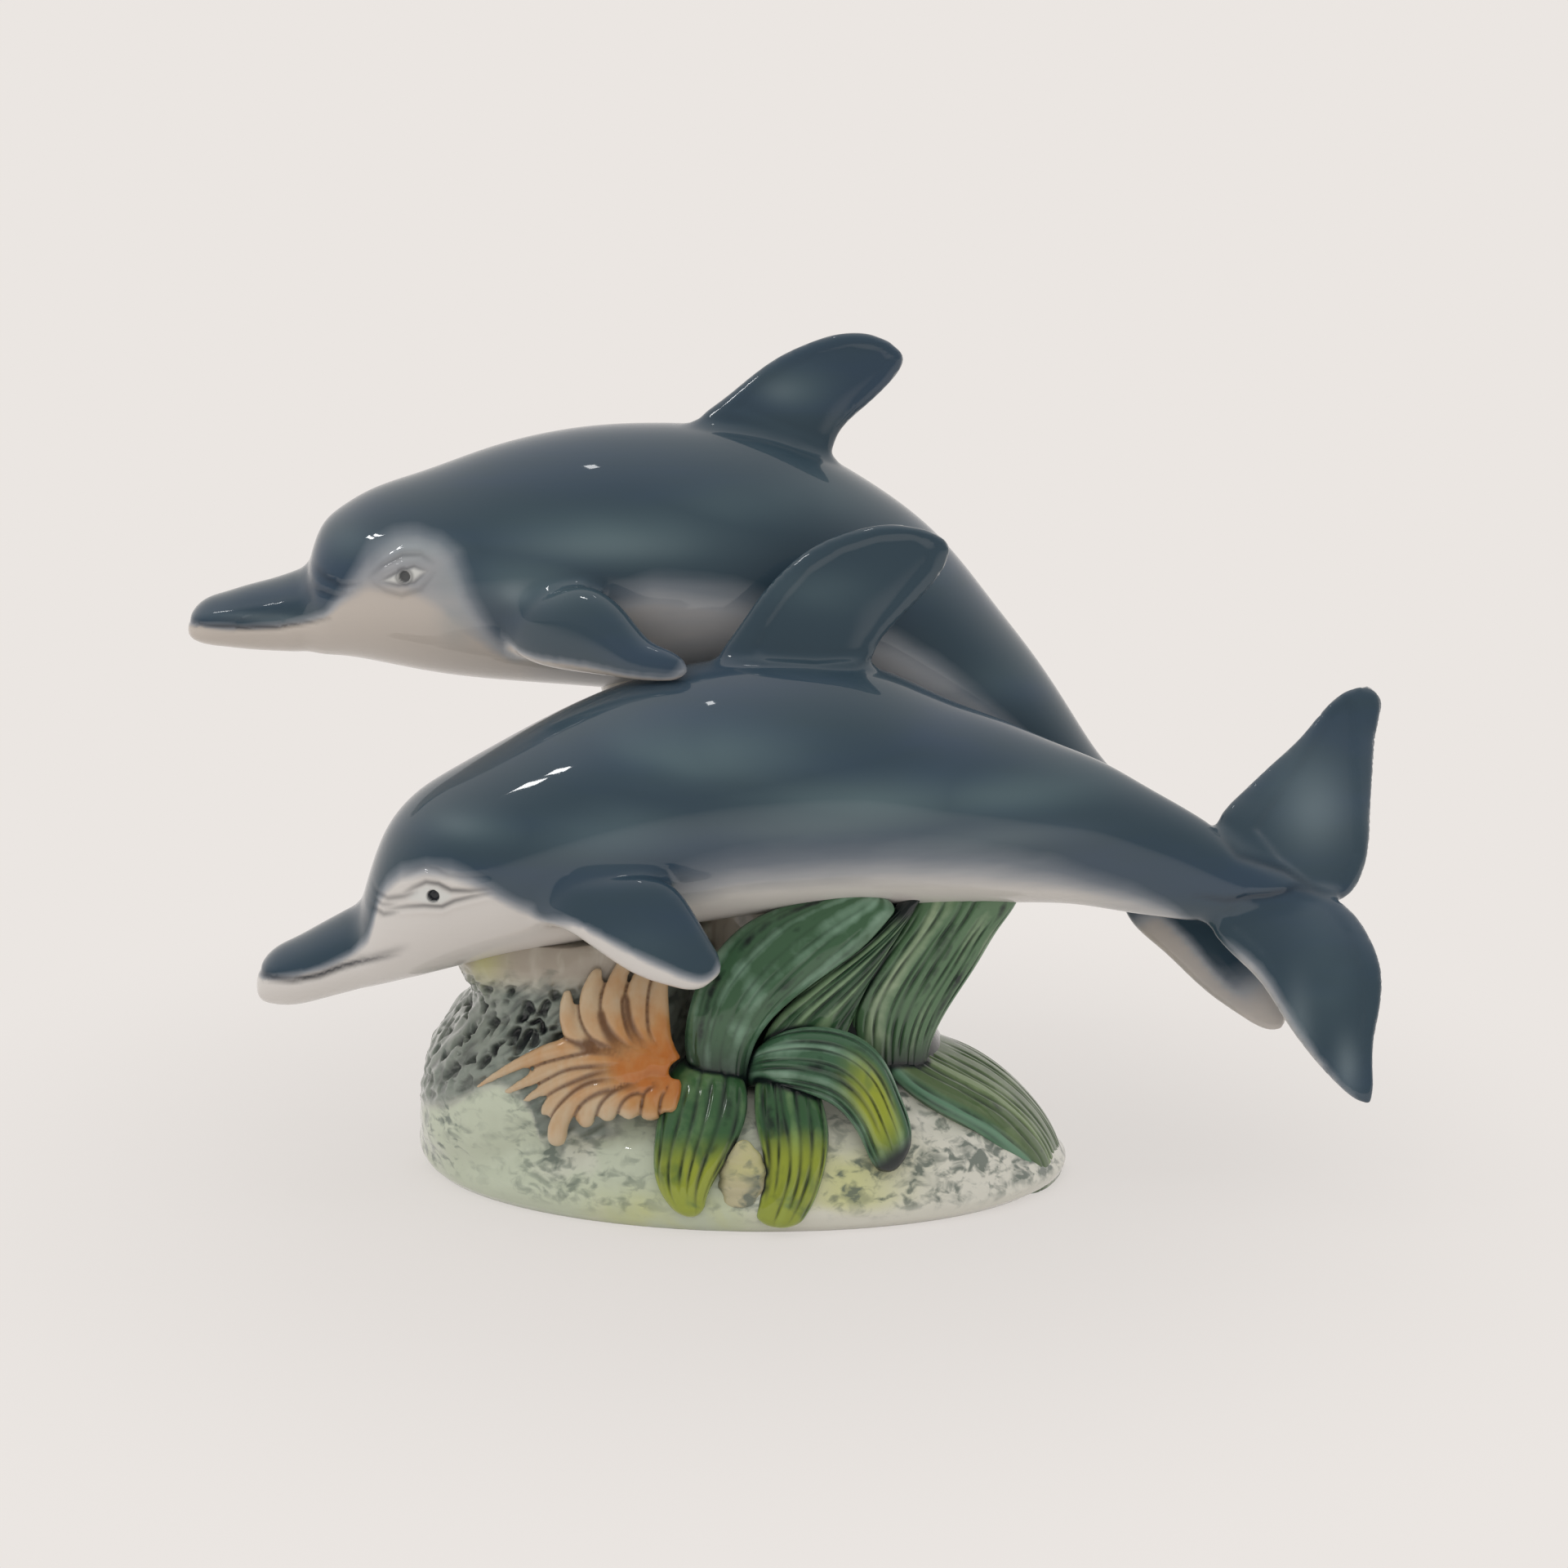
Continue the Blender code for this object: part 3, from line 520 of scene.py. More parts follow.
def fused(name: str, lofts: Sequence[Loft], voxel: float, passes: int, exact: bool = True) -> Skin:
    """Melt lofts into one smooth closed skin.

    Args:
        name: The piece's name.
        lofts: Closed forms that overlap.
        voxel: The size of the grid they are melted on.
        passes: How many times the joins are smoothed.
        exact: True to draw the skin back onto the lofts between the joins.

    Returns:
        The skin, with faces half a voxel wide.
    """
    made = link(name, loft_mesh(name, lofts))
    melt = made.modifiers.new("melt", "REMESH")
    melt.mode = "VOXEL"
    melt.voxel_size = voxel * MM
    soften = made.modifiers.new("soften", "SMOOTH")
    soften.factor = 0.5
    soften.iterations = passes
    settle(made)
    skin = Skin(made)
    if exact:
        skin.draw_onto(lofts)
    skin.divide()
    if exact:
        skin.draw_onto(lofts)
    return skin


def trim_foot(made: bpy.types.Object) -> None:
    """Cut a piece off flat at the table and close it."""
    with edited(made.data) as work:
        geometry = [*work.verts, *work.edges, *work.faces]
        cut = bmesh.ops.bisect_plane(
            work, geom=geometry, plane_co=(0, 0, 0), plane_no=(0, 0, 1), clear_inner=True
        )
        rim = [e for e in cut["geom_cut"] if isinstance(e, bmesh.types.BMEdge)]
        bmesh.ops.contextual_create(work, geom=rim)


# Glazes


class Value:
    """A number in a material, usable in Python expressions.

    Args:
        graph: The material's node maker.
        socket: The node output that gives the number.
    """

    def __init__(self, graph: "Graph", socket: bpy.types.NodeSocket) -> None:
        """Wrap the socket."""
        self.graph = graph
        self.socket = socket

    def _math(self, operation: str, first: Any, second: Any, clamp: bool = False) -> "Value":
        """One Math node on two values."""
        settings = {"operation": operation, "use_clamp": clamp}
        node = self.graph.add("ShaderNodeMath", settings, {0: first, 1: second})
        return Value(self.graph, node.outputs[0])

    def __add__(self, other: Any) -> "Value":
        """self + other."""
        return self._math("ADD", self, other)

    def __radd__(self, other: Any) -> "Value":
        """other + self."""
        return self._math("ADD", other, self)

    def __sub__(self, other: Any) -> "Value":
        """self - other."""
        return self._math("SUBTRACT", self, other)

    def __rsub__(self, other: Any) -> "Value":
        """other - self."""
        return self._math("SUBTRACT", other, self)

    def __mul__(self, other: Any) -> "Value":
        """self * other."""
        return self._math("MULTIPLY", self, other)

    def __rmul__(self, other: Any) -> "Value":
        """other * self."""
        return self._math("MULTIPLY", other, self)

    def held(self) -> "Value":
        """The number kept between 0 and 1."""
        return self._math("ADD", self, 0.0, clamp=True)

    def step(self, low: float, high: float) -> "Value":
        """A smooth step from 0 at low to 1 at high."""
        node = self.graph.add(
            "ShaderNodeMapRange",
            {"interpolation_type": "SMOOTHSTEP"},
            {"Value": self, "From Min": low, "From Max": high},
        )
        return Value(self.graph, node.outputs["Result"])


class Graph:
    """Makes the nodes of one material or world.

    Args:
        owner: The material or world, with its nodes in use.
    """

    def __init__(self, owner: bpy.types.Material | bpy.types.World) -> None:
        """Start on the owner's own nodes."""
        self.owner = owner
        self.tree = owner.node_tree

    @classmethod
    def named(cls, name: str) -> "Graph":
        """The nodes of a new material."""
        material = bpy.data.materials.new(name)
        material.use_nodes = True
        return cls(material)

    @property
    def shader(self) -> bpy.types.Node:
        """The material's surface shader."""
        return self.tree.nodes["Principled BSDF"]

    def add(
        self,
        kind: str,
        settings: Mapping[str, Any] | None = None,
        inputs: Mapping[Any, Any] | None = None,
    ) -> bpy.types.Node:
        """Add a node.

        Args:
            kind: The node's type.
            settings: Its settings; stops are a ramp's places and colours.
            inputs: Values or links, by the socket's name or number.

        Returns:
            The node.
        """
        node = self.tree.nodes.new(kind)
        for key, setting in (settings or {}).items():
            if key == "stops":
                self._stops(node.color_ramp, setting)
            else:
                setattr(node, key, setting)
        for key, given in (inputs or {}).items():
            self.feed(node.inputs[key], given)
        return node

    def _stops(self, ramp: bpy.types.ColorRamp, stops: Sequence[tuple[float, Colour]]) -> None:
        """Set a ramp's stops."""
        while len(ramp.elements) < len(stops):
            ramp.elements.new(1.0)
        for element, (place, colour) in zip(ramp.elements, stops):
            element.position = place
            element.color = (*colour, 1.0)

    def feed(self, socket: bpy.types.NodeSocket, given: Any) -> None:
        """Set a socket to a number or colour, or link it."""
        if isinstance(given, Value):
            self.tree.links.new(given.socket, socket)
        elif isinstance(given, bpy.types.NodeSocket):
            self.tree.links.new(given, socket)
        elif isinstance(given, tuple) and socket.type == "RGBA":
            socket.default_value = (*given, 1.0)
        else:
            socket.default_value = given

    def layer(self, name: str) -> Value:
        """A number that the piece's mesh keeps for each point."""
        node = self.add("ShaderNodeAttribute", {"attribute_name": name})
        return Value(self, node.outputs["Fac"])

    def noise(
        self,
        scale: float,
        detail: float = 3.0,
        stretch: Triple = (1.0, 1.0, 1.0),
        turn: Triple = (0.0, 0.0, 0.0),
        warp: float = 0.0,
    ) -> Value:
        """Soft noise in the model's frame.

        Args:
            scale: Features a metre.
            detail: How many finer layers it has.
            stretch: Features along each axis, as shares of scale.
            turn: The angle about each axis, in degrees.
            warp: How much it distorts itself.

        Returns:
            The noise, about 0.5 in the middle.
        """
        where = self.add("ShaderNodeTexCoord").outputs["Object"]
        radians = tuple(math.radians(angle) for angle in turn)
        placed = self.add(
            "ShaderNodeMapping", {}, {"Vector": where, "Rotation": radians, "Scale": stretch}
        )
        node = self.add(
            "ShaderNodeTexNoise",
            {},
            {"Vector": placed.outputs[0], "Scale": scale, "Detail": detail, "Distortion": warp},
        )
        return Value(self, node.outputs[0])

    def ramp(self, value: Value, stops: Sequence[tuple[float, Colour]]) -> bpy.types.NodeSocket:
        """Colours over a value."""
        node = self.add("ShaderNodeValToRGB", {"stops": stops}, {"Fac": value})
        return node.outputs["Color"]

    def over(self, under: Any, share: Value, top: Any) -> bpy.types.NodeSocket:
        """A colour laid over another by a share."""
        node = self.add("ShaderNodeMix", {"data_type": "RGBA"}, {0: share, 6: under, 7: top})
        return node.outputs[2]

    def blend(self, share: Value, first: bpy.types.Node, second: bpy.types.Node) -> bpy.types.Node:
        """Mix two shaders."""
        return self.add(
            "ShaderNodeMixShader", {}, {0: share, 1: first.outputs[0], 2: second.outputs[0]}
        )

    def coloured(self, colour: bpy.types.NodeSocket) -> bpy.types.Material:
        """Give the surface its colour, and return the material."""
        self.feed(self.shader.inputs["Base Color"], colour)
        return self.owner


@dataclass(frozen=True)
class ClearGlaze:
    """The clear glossy glaze over all the paint.

    Args:
        paint_roughness: How matt the paint is under the glaze.
        gloss_roughness: How rough the glaze's own surface is.
        index: The glaze's index of refraction.
    """

    paint_roughness: float = 0.5
    gloss_roughness: float = 0.035
    index: float = 1.5

    def graph(self, name: str) -> Graph:
        """A material with the glaze's constants set on the shader."""
        made = Graph.named(name)
        constants = {
            "Roughness": self.paint_roughness,
            "Specular IOR Level": 0.2,
            "Coat Weight": 1.0,
            "Coat Roughness": self.gloss_roughness,
            "Coat IOR": self.index,
            "IOR": self.index,
        }
        for key, constant in constants.items():
            made.feed(made.shader.inputs[key], constant)
        return made


@dataclass(frozen=True)
class DolphinGlaze:
    """Slate back airbrushed down to a cream belly.

    Args:
        name: The material's name.
        slate: The back's darkest paint.
        steel: The lighter airbrushed patches.
        blue: The bluer patches.
        haze: Grey-lavender half way down the flank.
        fog: Warm grey below it.
        cream: The belly.
        ink: Lines and pupils.
        white: The eyes.
        painted_highlight: Painted highlights and sheen.
        clear: The glaze on top.
    """

    name: str
    slate: Colour = paint(53, 74, 87)
    steel: Colour = paint(96, 118, 124)
    blue: Colour = paint(52, 74, 102)
    haze: Colour = paint(118, 127, 136)
    fog: Colour = paint(172, 174, 178)
    cream: Colour = paint(224, 219, 214)
    ink: Colour = paint(14, 24, 38)
    white: Colour = paint(222, 222, 218)
    painted_highlight: Colour = paint(140, 156, 162)
    clear: ClearGlaze = ClearGlaze()

    def material(self) -> bpy.types.Material:
        """Build the material."""
        graph = self.clear.graph(self.name)
        brushed = graph.noise(34.0, 4.0, (0.35, 1.0, 1.7), (0.0, 10.0, 0.0))
        cloudy = graph.noise(15.0, 3.0, (0.6, 1.0, 1.6), (0.0, 12.0, 0.0), 0.6)
        grain = graph.noise(420.0, 2.0, (0.25, 1.0, 1.0), (0.0, 8.0, 0.0))
        swept = graph.noise(80.0, 2.0, (0.12, 0.6, 1.0), (0.0, 10.0, 0.0), 0.8)
        tone = graph.layer("tone") + (brushed - 0.5) * 0.14 + (grain - 0.5) * 0.05
        tone = tone + (swept - 0.5) * 0.1
        fade = graph.ramp(
            tone.held(),
            (
                (0.0, self.cream),
                (0.14, self.cream),
                (0.34, self.fog),
                (0.56, self.haze),
                (0.84, self.slate),
                (1.0, self.slate),
            ),
        )
        lift = graph.layer("lift") * (cloudy.step(0.36, 0.62) * 0.7 + 0.3)
        fade = graph.over(fade, (brushed.step(0.42, 0.7) * graph.layer("tone") * 0.45), self.blue)
        fade = graph.over(fade, lift.held(), self.steel)
        # Painted highlights and sheen go on over the paint, then the eye whites and ink
        for name, colour in (("painted_highlight", self.painted_highlight), ("white", self.white), ("ink", self.ink)):
            fade = graph.over(fade, graph.layer(name), colour)
        return graph.coloured(fade)


@dataclass(frozen=True)
class LeafGlaze:
    """Green weed with painted ribs.

    Args:
        name: The material's name.
        groove: The dark lines.
        rib: The middle green.
        pale: The lighter green.
        glow: Yellow-green where the leaf turns.
        dark: The shade at roots and seams.
        margin: The leaf's edge.
        clear: The glaze on top.
    """

    name: str
    groove: Colour = paint(14, 36, 28)
    rib: Colour = paint(62, 98, 62)
    pale: Colour = paint(128, 156, 118)
    glow: Colour = paint(160, 170, 52)
    dark: Colour = paint(12, 26, 26)
    margin: Colour = paint(122, 156, 130)
    clear: ClearGlaze = ClearGlaze()

    def material(self) -> bpy.types.Material:
        """Build the material."""
        graph = self.clear.graph(self.name)
        washed = graph.noise(75.0, turn=(0.0, 30.0, 0.0), warp=0.5)
        fine = graph.noise(300.0, warp=0.5)
        light = graph.layer("streak") + (washed - 0.5) * 1.1 + (fine - 0.5) * 0.35
        green = graph.ramp(
            light.held(),
            (
                (0.0, self.groove),
                (0.24, self.rib),
                (0.46, self.rib),
                (0.86, self.pale),
                (1.0, self.pale),
            ),
        )
        green = graph.over(green, (graph.layer("glow") * washed.step(0.3, 0.5)).held(), self.glow)
        green = graph.over(green, graph.layer("margin"), self.margin)
        lines = graph.layer("groove") * (fine.step(0.3, 0.5) * 0.35 + 0.65)
        green = graph.over(green, lines.held(), self.groove)
        green = graph.over(green, graph.layer("dark"), self.dark)
        return graph.coloured(green)


@dataclass(frozen=True)
class BedGlaze:
    """Mound, rock and column in pale washes.

    Args:
        name: The material's name.
        sage: The mound's front left.
        chalk: The mound's right side and foot.
        mottle: Sponged darker spots.
        rock: The rock's grey-green.
        pit: Its hollows.
        stone: The column behind.
        lemon: Yellow tints.
        dark: The shade where weed lies on the column.
        clear: The glaze on top.
    """

    name: str
    sage: Colour = paint(204, 212, 190)
    chalk: Colour = paint(228, 226, 214)
    mottle: Colour = paint(92, 106, 98)
    rock: Colour = paint(144, 152, 142)
    pit: Colour = paint(16, 22, 28)
    stone: Colour = paint(172, 162, 148)
    lemon: Colour = paint(204, 206, 122)
    dark: Colour = paint(14, 30, 28)
    clear: ClearGlaze = ClearGlaze()

    def material(self) -> bpy.types.Material:
        """Build the material."""
        graph = self.clear.graph(self.name)
        cloudy = graph.noise(42.0, warp=0.8)
        sponged = graph.noise(300.0, 3.0, (0.8, 1.0, 1.2), (0.0, 20.0, 0.0), 0.5)
        dabbed = graph.noise(150.0, 3.0, (0.8, 1.0, 1.3), (0.0, 30.0, 0.0), 0.6)
        streaky = graph.noise(130.0, 3.0, (1.0, 1.0, 0.35), (0.0, 35.0, 0.0), 0.5)
        ground = graph.over(self.chalk, graph.layer("sage"), self.sage)
        ground = graph.over(ground, cloudy.step(0.5, 0.7) * 0.5, self.chalk)
        ground = graph.over(ground, graph.layer("lemon") * cloudy.step(0.3, 0.55), self.lemon)
        speck = sponged.step(0.46, 0.68) * (cloudy.step(0.34, 0.54) * 0.75 + 0.25)
        blot = dabbed.step(0.5, 0.7) * cloudy.step(0.42, 0.6)
        spots = (speck + blot) * graph.layer("mottle")
        ground = graph.over(ground, spots.held() * 0.85, self.mottle)
        wear = streaky.step(0.4, 0.75) * 0.5 + speck * 0.35
        worn = graph.over(self.rock, wear.held(), self.mottle)
        ground = graph.over(ground, graph.layer("rock"), worn)
        shaft = graph.over(self.stone, streaky.step(0.45, 0.75) * 0.6, self.chalk)
        shaft = graph.over(shaft, (dabbed.step(0.55, 0.7) * 0.4).held(), self.mottle)
        ground = graph.over(ground, graph.layer("stone"), shaft)
        tint = graph.layer("yellow") * cloudy.step(0.25, 0.5)
        ground = graph.over(ground, tint.held(), self.lemon)
        pits = graph.layer("pit") * (sponged.step(0.3, 0.5) * 0.4 + 0.6)
        ground = graph.over(ground, pits.held(), self.pit)
        ground = graph.over(ground, graph.layer("dark"), self.dark)
        return graph.coloured(ground)


@dataclass(frozen=True)
class AnemoneGlaze:
    """Orange hub fading to cream tips, brown in the creases.

    Args:
        name: The material's name.
        hub: The colour near the hub.
        flesh: The colour half way out.
        tip: The colour at the tips.
        crease: The brown painted shade between arms.
        clear: The glaze on top.
    """

    name: str
    hub: Colour = paint(190, 112, 44)
    flesh: Colour = paint(198, 146, 92)
    tip: Colour = paint(206, 184, 152)
    crease: Colour = paint(92, 54, 28)
    clear: ClearGlaze = ClearGlaze()

    def material(self) -> bpy.types.Material:
        """Build the material."""
        graph = self.clear.graph(self.name)
        washed = graph.noise(150.0, 3.0)
        brushed = graph.noise(340.0, 3.0, (1.0, 1.0, 0.3), (0.0, 20.0, 0.0))
        out = graph.layer("out") + (washed - 0.5) * 0.8 + (brushed - 0.5) * 0.5
        skin = graph.ramp(out.held(), ((0.0, self.hub), (0.45, self.flesh), (1.0, self.tip)))
        # Brown painted shade in the creases between arms
        skin = graph.over(skin, graph.layer("crease"), self.crease)
        return graph.coloured(skin)


# Station tables of the solid model

BASE_LENGTH = 163.0
BASE_WIDTH = 102.0
BASE_TURN = math.radians(-5.0)
MOUND_HEIGHT = 35.0
FOOT_EXTRA = 6.0
NEAR_Y = -19.0
FAR_Y = 21.0
FIN_THICKNESS = 9.0
FLUKE_THICKNESS = 8.0
EDGE_THICKNESS = 2.4
LEAF_THICKNESS = 7.0

# A body station: the back (x, z), the belly (x, z), half-width, sideways shift.
NEAR_BODY = [
    (-93.0, 69.0, -93.0, 58.0, 6.0, 0.0),
    (-90.6, 76.5, -90.6, 53.0, 12.5, 0.0),
    (-87.3, 86.5, -86.0, 53.4, 16.8, 0.0),
    (-83.5, 94.0, -80.0, 55.0, 19.5, 0.0),
    (-77.5, 100.5, -72.6, 57.0, 22.0, 0.0),
    (-71.0, 104.9, -64.5, 59.2, 23.6, 0.0),
    (-59.7, 111.4, -51.1, 62.0, 25.4, 0.0),
    (-36.1, 123.6, -30.9, 66.0, 27.6, 0.0),
    (-11.7, 131.6, -11.7, 69.0, 28.2, 0.0),
    (8.7, 133.6, 9.6, 72.0, 27.4, 0.0),
    (31.9, 131.0, 28.0, 73.5, 25.0, 0.3),
    (49.9, 123.0, 44.0, 73.4, 21.6, 0.8),
    (63.0, 117.8, 57.0, 73.3, 18.6, 1.4),
    (76.2, 112.0, 69.5, 73.1, 15.6, 2.2),
    (87.6, 107.0, 81.0, 72.3, 12.8, 3.0),
    (98.1, 100.9, 92.0, 70.3, 10.4, 3.8),
    (110.0, 93.8, 104.0, 68.3, 8.4, 4.6),
    (121.0, 86.6, 116.0, 67.0, 7.2, 5.0),
    (131.5, 80.8, 128.0, 67.8, 6.0, 5.0),
    (139.5, 76.0, 138.0, 70.2, 4.2, 5.0),
]
NEAR_BEAK = [
    (-117.2, 53.4, -116.9, 51.2, 3.0, 0.0),
    (-116.4, 57.2, -116.0, 49.2, 6.0, 0.0),
    (-113.8, 60.8, -113.6, 48.2, 8.0, 0.0),
    (-108.0, 64.2, -108.4, 47.9, 9.2, 0.0),
    (-102.0, 67.5, -102.6, 49.1, 10.0, 0.0),
    (-96.0, 70.8, -96.6, 50.8, 11.0, 0.0),
    (-90.0, 74.0, -90.6, 52.4, 12.6, 0.0),
    (-83.0, 76.5, -84.0, 54.5, 13.5, 0.0),
    (-76.0, 74.0, -77.0, 60.0, 10.0, 0.0),
]
FAR_BODY = [
    (-108.0, 146.5, -108.5, 134.0, 6.0, 0.0),
    (-106.0, 151.5, -106.5, 127.2, 12.5, 0.0),
    (-103.2, 158.6, -101.0, 126.2, 16.8, 0.0),
    (-98.0, 163.4, -94.5, 125.6, 19.8, 0.0),
    (-91.4, 167.2, -87.0, 124.2, 22.2, 0.0),
    (-79.0, 171.6, -74.8, 121.9, 24.4, 0.0),
    (-61.5, 177.8, -58.0, 120.0, 26.6, 0.0),
    (-37.4, 182.9, -38.2, 118.5, 28.6, 0.0),
    (-13.4, 183.6, -18.0, 117.0, 29.2, 0.0),
    (8.0, 181.0, -1.0, 116.4, 28.6, 0.0),
    (29.5, 170.6, 14.0, 114.0, 26.6, -0.6),
    (48.1, 156.6, 28.5, 109.4, 23.4, -1.4),
    (62.8, 139.0, 42.5, 103.0, 20.0, -2.8),
    (72.9, 126.0, 54.0, 96.5, 17.0, -4.0),
    (82.0, 112.4, 65.0, 90.0, 14.0, -5.4),
    (92.0, 98.4, 76.5, 82.8, 11.2, -7.0),
    (101.5, 90.8, 87.5, 76.0, 8.8, -8.4),
    (110.0, 84.6, 99.0, 70.5, 7.0, -9.2),
    (116.5, 79.0, 108.5, 68.0, 5.2, -9.6),
]
FAR_BEAK = [
    (-137.0, 132.8, -136.6, 131.0, 3.0, 0.0),
    (-136.2, 136.4, -135.2, 129.8, 6.0, 0.0),
    (-133.4, 139.6, -132.4, 128.8, 7.8, 0.0),
    (-128.4, 141.6, -128.0, 128.2, 9.0, 0.0),
    (-122.5, 143.4, -122.5, 127.6, 9.8, 0.0),
    (-116.5, 145.0, -116.5, 127.2, 10.6, 0.0),
    (-110.5, 147.0, -110.5, 127.0, 12.0, 0.0),
    (-102.0, 149.5, -102.0, 128.0, 13.5, 0.0),
    (-95.0, 147.5, -95.0, 132.0, 10.0, 0.0),
]

# A blade station: leading edge (x, y, z), trailing edge (x, y, z), thickness share.
NEAR_FIN = [
    (-12.0, 0.0, 124.0, 33.0, 0.0, 122.0, 1.15),
    (-5.6, 0.0, 133.6, 31.4, 0.0, 130.2, 1.0),
    (0.2, 0.0, 141.6, 32.6, 0.0, 136.4, 0.86),
    (4.8, 0.0, 148.2, 35.8, 0.0, 140.8, 0.74),
    (10.6, 0.0, 154.8, 41.5, 0.0, 146.8, 0.64),
    (18.4, 0.0, 160.8, 46.8, 0.0, 153.0, 0.54),
    (27.0, 0.0, 164.2, 49.2, 0.0, 157.8, 0.46),
    (35.0, 0.0, 165.6, 48.9, 0.0, 161.4, 0.38),
    (41.4, 0.0, 165.2, 46.0, 0.0, 163.8, 0.28),
]
FAR_FIN = [
    (-20.0, 0.0, 176.0, 24.0, 0.0, 166.0, 1.15),
    (-12.0, 0.0, 184.0, 22.6, 0.0, 175.4, 1.0),
    (-4.4, 0.0, 189.6, 23.4, 0.0, 180.2, 0.88),
    (2.0, 0.0, 194.8, 26.0, 0.0, 184.0, 0.76),
    (9.0, 0.0, 199.8, 30.6, 0.0, 188.2, 0.66),
    (16.6, 0.0, 203.4, 36.0, 0.0, 193.4, 0.56),
    (24.0, 0.0, 205.6, 39.2, 0.0, 197.8, 0.46),
    (30.6, 0.0, 205.7, 39.3, 0.0, 200.8, 0.38),
    (34.8, 0.0, 204.6, 37.6, 0.0, 202.8, 0.28),
]
NEAR_FLIPPER = [
    (-50.0, -16.0, 70.0, -46.0, -14.0, 88.0, 1.0),
    (-42.0, -25.0, 74.2, -38.0, -23.0, 87.0, 1.0),
    (-33.0, -31.0, 70.6, -27.0, -27.0, 87.4, 1.0),
    (-23.0, -34.0, 65.1, -15.8, -30.0, 86.0, 0.92),
    (-15.0, -35.5, 62.9, -9.6, -32.0, 78.4, 0.78),
    (-9.2, -36.0, 62.6, -5.6, -33.0, 71.6, 0.6),
    (-5.2, -35.5, 64.4, -3.4, -34.0, 68.0, 0.42),
]
FAR_FLIPPER_NEAR = [
    (-58.0, -14.0, 133.0, -56.0, -15.0, 149.0, 1.0),
    (-50.0, -25.0, 129.8, -48.0, -25.5, 146.2, 1.0),
    (-40.0, -33.0, 129.0, -37.0, -33.0, 149.4, 1.0),
    (-31.0, -39.0, 129.1, -28.0, -39.0, 144.9, 0.9),
    (-24.0, -44.0, 129.2, -21.5, -44.0, 138.7, 0.74),
    (-17.5, -47.5, 129.7, -15.5, -47.5, 136.4, 0.56),
    (-13.0, -49.0, 130.2, -11.6, -49.0, 134.0, 0.38),
]
FAR_FLIPPER_FAR = [
    (-58.0, -14.0, 133.0, -56.0, -15.0, 149.0, 1.0),
    (-50.0, -25.0, 134.0, -48.0, -25.5, 149.6, 1.0),
    (-41.0, -30.0, 130.6, -37.5, -29.0, 149.4, 1.0),
    (-33.0, -33.0, 127.6, -29.0, -31.0, 145.0, 0.9),
    (-25.0, -34.0, 126.0, -23.4, -32.0, 138.2, 0.74),
    (-18.0, -34.5, 125.6, -17.2, -33.0, 132.4, 0.56),
    (-12.6, -34.5, 126.6, -12.2, -33.8, 129.6, 0.38),
]
NEAR_FLUKE_HIGH = [
    (112.0, 5.0, 84.0, 143.0, 5.0, 71.0, 1.0),
    (117.0, 9.0, 93.2, 150.0, 9.0, 75.0, 0.9),
    (121.3, 12.0, 97.0, 152.8, 12.0, 81.6, 0.8),
    (129.8, 17.0, 103.6, 154.0, 17.0, 91.8, 0.66),
    (138.0, 22.5, 109.8, 155.2, 22.5, 102.4, 0.52),
    (144.6, 27.0, 116.2, 156.6, 27.0, 110.6, 0.42),
    (149.4, 29.0, 119.2, 157.6, 29.0, 116.4, 0.34),
    (153.2, 30.0, 120.4, 156.2, 30.0, 119.6, 0.28),
]
NEAR_FLUKE_LOW = [
    (110.0, 5.0, 72.0, 143.0, 5.0, 74.0, 1.0),
    (117.0, -1.0, 62.8, 148.6, -1.0, 70.0, 0.9),
    (124.8, -6.0, 55.8, 151.4, -6.0, 66.0, 0.8),
    (130.8, -11.0, 47.4, 153.4, -11.0, 60.2, 0.68),
    (136.8, -15.0, 39.6, 153.0, -15.0, 52.0, 0.56),
    (141.0, -18.6, 35.4, 151.2, -18.6, 43.8, 0.46),
    (145.2, -21.0, 31.8, 151.0, -21.0, 36.2, 0.38),
    (149.0, -22.6, 29.2, 151.2, -22.6, 31.2, 0.3),
]
FAR_FLUKE_NEAR = [
    (93.0, -9.0, 72.0, 117.0, -9.0, 78.0, 1.0),
    (96.6, -14.6, 62.0, 121.0, -13.0, 70.6, 0.9),
    (103.6, -21.0, 56.3, 126.4, -19.0, 64.6, 0.8),
    (114.4, -29.0, 47.6, 130.0, -27.0, 57.0, 0.64),
    (122.0, -35.0, 43.4, 132.4, -33.0, 50.4, 0.5),
    (127.6, -39.0, 41.2, 133.2, -38.0, 45.2, 0.4),
    (130.4, -41.0, 41.2, 132.4, -41.0, 43.0, 0.32),
]
FAR_FLUKE_FAR = [
    (93.0, -9.0, 76.0, 117.0, -9.0, 78.0, 1.0),
    (97.4, -3.0, 74.0, 122.6, -4.0, 78.0, 0.9),
    (104.6, 3.4, 72.4, 129.0, 1.6, 75.4, 0.8),
    (115.6, 11.0, 69.4, 133.4, 9.0, 71.6, 0.64),
    (123.8, 17.0, 67.4, 136.0, 15.4, 68.8, 0.5),
    (130.0, 21.0, 66.2, 137.0, 20.0, 67.0, 0.4),
    (133.4, 23.4, 66.0, 136.2, 23.2, 66.2, 0.32),
]

# The mound's sections: shares of its height, of its width and length to the
# left, and of its length to the right.
MOUND_SHARES = [
    (-0.17, 0.90, 0.90),
    (0.0, 0.945, 0.945),
    (0.05, 0.978, 0.985),
    (0.12, 0.995, 1.0),
    (0.2, 1.0, 0.975),
    (0.34, 0.975, 0.925),
    (0.52, 0.915, 0.855),
    (0.68, 0.82, 0.775),
    (0.82, 0.69, 0.67),
    (0.93, 0.50, 0.50),
    (1.0, 0.22, 0.22),
]

